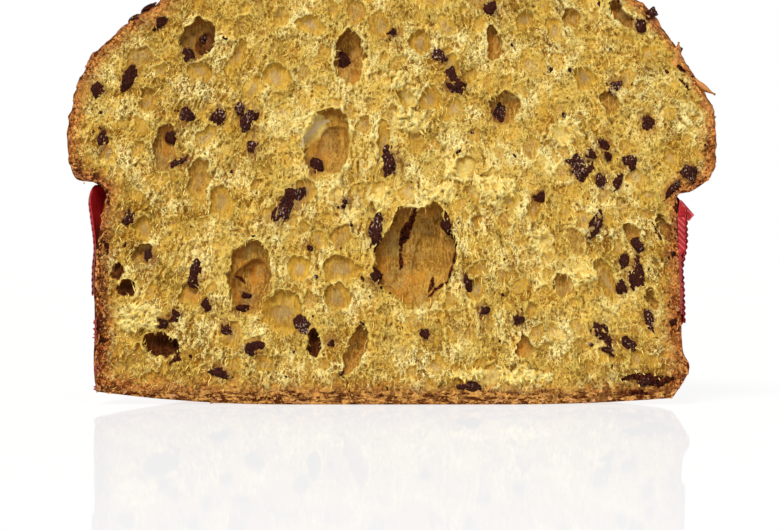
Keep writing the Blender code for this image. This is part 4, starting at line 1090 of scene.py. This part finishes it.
# Threads of crumb that the knife drew out, most of them at the right of the great hole
likely = (proud > 0.1) * (1.0 - open_wall) * inside * (rind > 6.0)
pull = np.exp(-((face_x - 33.0) / 14.0) ** 2 - ((face_z - 47.0) / 14.0) ** 2)
i, j = pick_places(likely * (0.5 + 3.0 * pull + 1.2 * fluff), THREADS)
lean = np.radians(-30.0 * face_x[i, j] / 100.0 + rng.normal(0.0, 24.0, THREADS))
long = rng.uniform(1.6, 6.0, THREADS)
bow = rng.uniform(-0.8, 0.8, THREADS)
thread_points = []
for along in np.linspace(-0.5, 0.5, 7):
    bend = bow * (0.25 - along ** 2) * 4.0
    x = face_x[i, j] + long * along * np.sin(lean) + bend * np.cos(lean)
    z = face_z[i, j] + long * along * np.cos(lean) - bend * np.sin(lean)
    spot = on_face(x, z)
    y = CUT + np.minimum(hollow[spot], depth[spot] + 0.6) - 0.25 + 1.2 * np.abs(along)
    for hand in (-0.13, 0.13):
        wide_here = hand * (1.15 - 1.6 * abs(along))
        thread_points.append(np.stack([x + wide_here * np.cos(lean), y,
                                       z - wide_here * np.sin(lean)], axis=1))
shreds = ribbon_piece("torn_crumb", points, np.stack(thread_points, axis=1))
pale = Recipe("pale_shreds")
light = pale.speckle(2.2, 2.0, 0.5)
pale.colour = pale.blend(light.between(0.35, 0.65), (216, 174, 70), (248, 222, 130))
pale.coat(pale.speckle(14.0, 2.0, 0.5).between(0.4, 0.65) * 0.6, (204, 158, 56))
pale.shine(Roughness=0.7, Specular_IOR_Level=0.06)
pale.relief(pale.speckle(0.3, 2.0, 0.6), 0.1, 0.5)
shreds.data.materials.append(pale.material)
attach(shreds, "root")
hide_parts("loaf")


# The chocolate: broken drops that were stirred into the dough. The knife went through some
# and tore others out, so they are angular, half sunk in the crumb, and matt on the break.
SPECKS = 80


def add_drop(name, centre, size, lean, fineness):
    """Add one broken drop of chocolate: a ball, knocked flat on some sides and pitted."""
    bpy.ops.mesh.primitive_ico_sphere_add(subdivisions=fineness, radius=1.0)
    drop = bpy.context.object
    drop.name = name
    places = np.zeros(len(drop.data.vertices) * 3)
    drop.data.vertices.foreach_get("co", places)
    places = places.reshape(-1, 3)
    for _ in range(8):
        flat_side = rng.normal(0.0, 1.0, 3)
        flat_side /= np.linalg.norm(flat_side)
        over = places @ flat_side - rng.uniform(0.5, 0.9)
        places -= np.clip(over, 0.0, None)[:, None] * flat_side * 0.95
    shift = rng.uniform(-90.0, 90.0, 3)
    places *= 1.16 + 0.28 * clouds(places + shift, 0.75)[:, None]
    places *= 1.0 + 0.17 * clouds(places + shift, 0.26)[:, None]
    places *= np.array(size) / 2.0
    x, z = turned(places[:, 0], places[:, 2], -lean)
    lay_points(drop, np.stack([x, places[:, 1], z], axis=1) + np.array(centre))
    return drop


drops = []
for index, (x, z, width, tall, lean) in enumerate(CHIPS):
    spot = on_face(x, z)
    y = CUT + max(0.2, hollow[spot] - 0.2) + 1.3
    width = min(width, 1.25 * rind[spot])
    size = (1.16 * width + 0.5, 3.8, 1.12 * tall + 0.5)
    drops.append(add_drop("drop_%02d" % index, (x, y, z), size, lean, 4))
likely = (rind > 3.0) * inside * (0.1 + smoothstep(0.0, 0.6, swirl(face_x, face_z, 16.0, 12)))
likely = likely * (1.0 - holes["wall"])
for index, (i, j) in enumerate(zip(*pick_places(likely, SPECKS))):
    wide = rng.uniform(0.4, 1.3)
    size = (wide, wide, wide * rng.uniform(0.8, 2.2))
    centre = (place_x[i, j], place_y[i, j] + 0.1 * wide, place_z[i, j])
    drops.append(add_drop("speck_%03d" % index, centre, size, rng.uniform(-60.0, 60.0), 2))
# On the rim of the cut: x, how far behind the cut, height, length, thickness and lean
DOME_DROPS = ((89.3, 1.2, 132.2, 4.0, 4.2, 0), (-80.6, 2.6, 134.2, 5.6, 2.3, -34),
              (-85.6, 3.0, 130.8, 4.6, 2.1, -36), (98.4, 3.0, 119.4, 3.2, 3.2, 0))
for index, (x, behind, z, long, thick, lean) in enumerate(DOME_DROPS):
    size = (long, 4.0, thick)
    drops.append(add_drop("rim_drop_%02d" % index, (x, CUT + behind, z), size, lean, 4))
# Over the rest of the dome: angle round the loaf in degrees, height and size
DOME_CHIPS = (
    (18.0, 121.0, 4.8), (30.0, 139.0, 5.2), (42.0, 106.0, 4.4), (54.0, 128.0, 5.4),
    (66.0, 147.0, 4.6), (84.0, 114.0, 5.0), (96.0, 136.0, 4.6), (108.0, 151.0, 5.0),
    (120.0, 109.0, 4.6), (132.0, 142.0, 5.2), (150.0, 124.0, 4.8), (162.0, 101.0, 4.4),
)
for index, (degrees, z, wide) in enumerate(DOME_CHIPS):
    column = int(round(degrees / 180.0 * (CRUST_COLUMNS - 1)))
    level = int(np.argmax(skin[:, column, 2] >= z))
    size = (wide, wide, wide)
    drops.append(add_drop("dome_drop_%02d" % index, skin[level, column], size, 0.0, 4))
bpy.ops.object.select_all(action="DESELECT")
for drop in drops:
    drop.select_set(True)
bpy.context.view_layer.objects.active = drops[0]
bpy.ops.object.join()
chocolate = bpy.context.object
chocolate.name = "chocolate"
bpy.ops.object.shade_smooth_by_angle(angle=math.radians(38.0))
cocoa = Recipe("dark_chocolate")
crumbly = cocoa.speckle(0.7, 4.0, 0.7)
lit = cocoa.speckle(9.0, 1.0, 0.5)
sparkle = cocoa.speckle(0.5, 2.0, 0.6, (1.0, 1.0, 2.0))
cocoa.colour = cocoa.blend(crumbly.between(0.35, 0.7), (22, 5, 2), (70, 28, 16))
# Painted glints: pale specks of highlight, clustered on the chips where the lit noise is high
cocoa.coat((sparkle + lit * 0.45).between(0.87, 0.94) * 0.8, (190, 160, 136))
cocoa.shine(Roughness=0.45 + crumbly * 0.4, Specular_IOR_Level=0.07)
cocoa.relief(crumbly + cocoa.speckle(0.3, 2.0, 0.6) * 0.4, 0.3, 0.8)
chocolate.data.materials.append(cocoa.material)
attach(chocolate, "root")
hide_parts("loaf")


# The case: a red baking mould of thin fluted paper, cut through with the loaf. A flat inner
# sheet carries an outer sheet whose flutes run round it. It has come off the wall at the left,
# is dog-eared at the top right, and tore away below that when the half was lifted.
FLUTES = 29
FLUTE_ROWS = 7
CASE_LOW = 7.0
CASE_TOP = 71.0
CASE_TALL = CASE_TOP - CASE_LOW
CASE_WALL_RIGHT = ((102.2, 12.0), (99.2, 46.0), (98.3, 71.0))
CASE_WALL_LEFT = ((99.2, 12.0), (98.9, 48.0), (95.5, 71.0))


def case_place(angle, height, offset):
    """Return points of the case at an angle and height, so far out from its inner face."""
    from_right = np.degrees(angle)
    from_left = 180.0 - from_right
    right_end = 1.0 - smoothstep(0.0, 7.0, from_right)
    left_end = 1.0 - smoothstep(0.0, 9.5, from_left)
    top = CASE_TOP - 4.5 * right_end + 3.4 * smoothstep(25.0, 8.0, from_left)
    top = top - 6.0 * np.clip(1.0 - from_left / 4.0, 0.0, 1.0) ** 2
    height = CASE_LOW + (height - CASE_LOW) * (top - CASE_LOW) / CASE_TALL
    share = 0.5 - 0.5 * np.cos(angle)
    away = 0.45 + 0.7 * smoothstep(0.16, 0.4, np.sin(angle)) + offset
    for part, walls_at in ((1.0 - share, CASE_WALL_RIGHT), (share, CASE_WALL_LEFT)):
        reaches, levels = zip(*walls_at)
        away = away + part * np.interp(height, levels, reaches)
    away += left_end * (4.9 * smoothstep(48.0, 74.0, height) - 0.35)
    away += right_end * 1.9 * smoothstep(44.0, 58.0, height)
    away -= smoothstep(44.0, 28.0, height) * (1.0 - smoothstep(14.0, 40.0, from_right))
    return np.stack([away * np.cos(angle), CUT + away * np.sin(angle), height], axis=-1)


def jagged(values, pitch, *beside):
    """Return soft noise along a line of values, with so many swellings to each unit."""
    return np.array([noise.noise(Vector((value * pitch, *beside))) for value in values])


def torn_low(angle):
    """Return the height of the case's lower edge, which tore away at both ends of the cut."""
    y = CUT + 100.0 * np.sin(angle)
    at_right = np.cos(angle) > 0.0
    share = np.clip(np.where(at_right, (y + 54.0) / 90.0, (y + 36.0) / 28.0), 0.0, 1.0)
    end = np.where(at_right, 31.0, 38.0)
    ragged = jagged(angle, 60.0, 3.0, 1.0) + 0.6 * jagged(angle, 190.0, 5.0, 1.0)
    return np.maximum(end + (CASE_LOW - end) * share + 1.5 * ragged * (share < 1.0), CASE_LOW)


fine = np.radians(np.linspace(0.0, 14.0, 40))
coarse = np.radians(np.linspace(14.0, 166.0, 101))
angles = np.concatenate([fine, coarse[1:-1], math.pi - fine[::-1]])
low = torn_low(angles)
paper_sheets = []
for name, rows, fluted in (("paper_flutes", FLUTES * FLUTE_ROWS + 1, True),
                           ("paper_lining", 66, False)):
    levels = np.linspace(CASE_LOW, CASE_TOP, rows)
    spread_angle, spread_level = np.meshgrid(angles, levels)
    crest = 0.5 - 0.5 * np.cos(2.0 * math.pi * FLUTES * (levels - CASE_LOW) / CASE_TALL)
    spread_crest = np.repeat(crest[:, None], len(angles), axis=1)
    offset = 0.24 + 0.5 * spread_crest ** 0.8 if fluted else np.zeros_like(spread_level)
    kept_level = np.maximum(spread_level, low)
    nothing = np.zeros_like(kept_level)
    gone = clouds(np.stack([kept_level, nothing + 3.0, nothing], axis=-1), 3.0)
    gone = np.maximum(0.03 * (0.4 + gone) * smoothstep(55.0, 48.0, kept_level), 0.0)
    bitten = spread_angle + gone * np.maximum(1.0 - spread_angle / fine[-1], 0.0)
    places = case_place(bitten, kept_level, offset)
    crumple = clouds(places, 9.0) * 0.35 + clouds(places, 2.6) * 0.1
    places[:, :, 0] += crumple * np.cos(angles)
    places[:, :, 1] += crumple * np.sin(angles)
    sheet = grid_piece(name, rows, len(angles))
    i, j = grid_places(sheet, rows, len(angles))
    lay_points(sheet, places[i, j])
    keep_on_points(sheet, "crest", spread_crest[i, j] * (fluted or (np.cos(angles) > 0.0)[j]))
    # At the left end the flutes, and the lining below the flare, are greyed as painted shade
    greyed = smoothstep(164.0, 172.0, np.degrees(angles)) + nothing
    if not fluted:
        greyed = greyed * smoothstep(60.0, 52.0, kept_level)
    keep_on_points(sheet, "greyed", greyed[i, j])
    tidy_surface(sheet)
    thicken(sheet, 0.16 if fluted else 0.2, 0.0)
    paper_sheets.append(sheet)

# The dog-ear: the top right corner of both sheets, folded outwards along a slanting crease.
# First the crease from its top down, then the free edge, each as x, how far behind the cut
# and height
EAR_CREASE = ((98.9, 0.1, 68.9), (98.3, 0.1, 62.8))
EAR_EDGE = ((99.5, 0.4, 69.2), (104.1, 2.5, 64.1), (102.2, 1.9, 62.2))
ear = grid_piece("paper_ear", 15, 29)
out_share, down = grid_shares(ear, 15, 29)
places = []
for at_crease, at_edge in zip(zip(*EAR_CREASE), zip(*EAR_EDGE)):
    inner = np.interp(down, (0.0, 1.0), at_crease)
    outer = np.interp(down, (0.0, 0.76, 1.0), at_edge)
    places.append(inner * (1.0 - out_share) + outer * out_share)
beyond_fold = out_share - 0.35 - 0.75 * down
places[1] += CUT + 0.14 * np.cos(down * 2.0 * math.pi * 4.5) * out_share
places[1] -= 0.5 * np.exp(-(beyond_fold / 0.12) ** 2)
lay_points(ear, np.stack(places, axis=1))
creased = np.exp(-(beyond_fold / 0.07) ** 2)
# Painted highlight along the crease and along the ear's lower edge
keep_on_points(ear, "crest", 1.5 * creased + 0.9 * smoothstep(0.9, 0.97, down))
# Beyond the fold the ear is greyed as painted shade, turned away from the lamp
keep_on_points(ear, "greyed", 0.45 * smoothstep(0.05, 0.35, beyond_fold))

# Below it, and at the left, the torn edge of the flutes is pressed against the wall and frayed:
# which side, the top, then the heights and widths of the strip from its foot up
FRAYS = (
    (1, 63.4, (30.6, 33.0, 38.0, 44.0, 50.5, 52.5, 63.4), (0.2, 0.6, 1.0, 0.7, 0.9, 2.2, 2.6)),
    (-1, 29.6, (20.8, 23.0, 25.5, 27.5, 29.6), (0.2, 0.9, 0.6, 1.0, 0.2)),
    (-1, 14.2, (10.2, 12.0, 14.2), (0.2, 0.7, 0.2)), (-1, 6.4, (4.6, 5.4, 6.4), (0.3, 0.9, 0.2)),
)
ears = [ear]
for index, (hand, top, levels, widths) in enumerate(FRAYS):
    frayed = grid_piece("paper_fray_%d" % index, 121, 9)
    down, out_share = grid_shares(frayed, 121, 9)
    level = top - (top - levels[0]) * down
    nibbled = 0.4 * jagged(level, 0.8, 1.0, 2.0) + 0.7 * jagged(level, 1.7, 4.0, 1.0)
    wide = np.interp(level, levels, widths) + nibbled * smoothstep(52.5, 50.0, level) * 1.5
    wide = np.maximum(wide, 0.1)
    inner = np.interp(level, (20.0, 46.0, 66.0), (99.8, 98.9, 98.1)) if hand > 0 else 98.3
    slant = np.cos(2.0 * math.pi * (level + 1.1 * wide * out_share) / 2.1)
    lay_points(frayed, np.stack([hand * (inner + wide * out_share),
                                 CUT - 0.3 + 0.5 * out_share + 0.14 * slant, level], axis=1))
    keep_on_points(frayed, "crest", (0.5 + 0.45 * slant) * smoothstep(49.0, 53.0, level))
    # Below the tear the strips are greyed, darker and duller
    keep_on_points(frayed, "greyed", 0.4 * smoothstep(52.0, 49.0, level))
    ears.append(frayed)
for small_piece in ears:
    tidy_surface(small_piece)
    thicken(small_piece, 0.3)
    paper_sheets.append(small_piece)

paper = Recipe("red_baking_paper")
pulp = paper.speckle(0.5, 3.0, 0.65)
stains = paper.speckle(11.0, 3.0, 0.55)
crest_share = paper.kept("crest")
# Painted light: the red is brighter towards the left and the top of the case, the side the lamp
# comes from
lit_upper_left = paper.along(0).between(20.0, -70.0) * paper.along(2).between(36.0, 56.0)
paper.colour = paper.blend(stains.between(0.35, 0.7),
                           paper.blend(lit_upper_left, (136, 12, 18), (190, 18, 32)),
                           paper.blend(lit_upper_left, (168, 32, 36), (220, 54, 64)))
paper.coat((pulp * 0.6 + paper.speckle(2.0) * 0.4).between(0.46, 0.58) * 0.35, (110, 12, 22))
# Lighter pink on the flute crests and ribs, and a painted highlight along the ear's crease and
# lower edge
paper.coat(crest_share.between(0.5, 1.0) * 0.5, (224, 120, 120))
paper.coat(pulp.between(0.6, 0.8) * 0.3, (232, 150, 150))
# Grey brown where greyed: painted shade at the left end and beyond the ear's fold, and a duller
# tone on the frays below the tear
paper.coat(paper.kept("greyed") * 0.8, paper.blend(crest_share, (140, 84, 76), (98, 46, 42)))
paper.shine(Roughness=0.5 + pulp * 0.2, Specular_IOR_Level=0.25)
paper.relief(pulp, 0.12, 0.7)
for sheet in paper_sheets:
    sheet.data.materials.append(paper.material)
    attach(sheet, "root")
    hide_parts("paper_case")


# The table, the light and the view: a glossy white table that gives the loaf back faintly,
# one large soft light above and in front, white all round, and a level view of the cut.
bpy.ops.mesh.primitive_grid_add(x_subdivisions=4, y_subdivisions=4, size=8.0)
table = bpy.context.object
table.name = "table"
bpy.ops.object.mode_set(mode="EDIT")
bpy.ops.mesh.select_all(action="SELECT")
bpy.ops.transform.translate(value=(0.0, 0.0, -0.00005))
bpy.ops.object.mode_set(mode="OBJECT")
glaze = Recipe("white_table")
glaze.tree.nodes.remove(glaze.shader)
matt = glaze.node("ShaderNodeBsdfDiffuse", {}, {"Color": (0.9, 0.9, 0.9, 1.0)})
glow = glaze.node("ShaderNodeEmission", {}, {"Strength": 1.0})
gloss = glaze.node("ShaderNodeBsdfGlossy", {},
                   {"Color": (1.0, 0.98, 0.96, 1.0), "Roughness": 0.03})
fade = glaze.node("ShaderNodeMapRange", {},
                  {"Value": glaze.along(1), "From Min": -500.0, "From Max": -50.0,
                   "To Min": 0.1, "To Max": 0.19})
bright = glaze.node("ShaderNodeMixShader", {}, {0: 0.9, 1: matt, 2: glow})
both = glaze.node("ShaderNodeMixShader", {}, {0: fade, 1: bright, 2: gloss})
glaze.put(glaze.tree.nodes["Material Output"].inputs["Surface"], both)
table.data.materials.append(glaze.material)

world = bpy.data.worlds.new("white_room")
world.use_nodes = True
air = Nodes(world.node_tree)
background = world.node_tree.nodes["Background"]
seen = air.node("ShaderNodeLightPath", {}, {}, "Is Camera Ray")
mirrored = air.node("ShaderNodeLightPath", {}, {}, "Is Glossy Ray")
air.put(background.inputs["Color"], (1.0, 1.0, 1.0, 1.0))
air.put(background.inputs["Strength"], 0.42 + seen.most(mirrored) * 0.58)
bpy.context.scene.world = world

lamp = bpy.data.lights.new("softbox", "SUN")
lamp.energy = 3.3
lamp.angle = math.radians(20.0)
softbox = bpy.data.objects.new("softbox", lamp)
bpy.context.scene.collection.objects.link(softbox)
softbox.rotation_euler = Vector((0.26, 0.8, -0.85)).to_track_quat("-Z", "Y").to_euler()

lens = bpy.data.cameras.new("view")
lens.lens = 135.0
lens.sensor_width = 36.0
lens.clip_start = 0.01
view = bpy.data.objects.new("view", lens)
bpy.context.scene.collection.objects.link(view)
view.location = (0.001, -0.05 - 0.9885, 0.056)
aim = Vector((0.001, -0.05, 0.0472)) - view.location
view.rotation_euler = aim.to_track_quat("-Z", "Y").to_euler()
bpy.context.scene.camera = view
bpy.context.scene.view_settings.view_transform = "Standard"
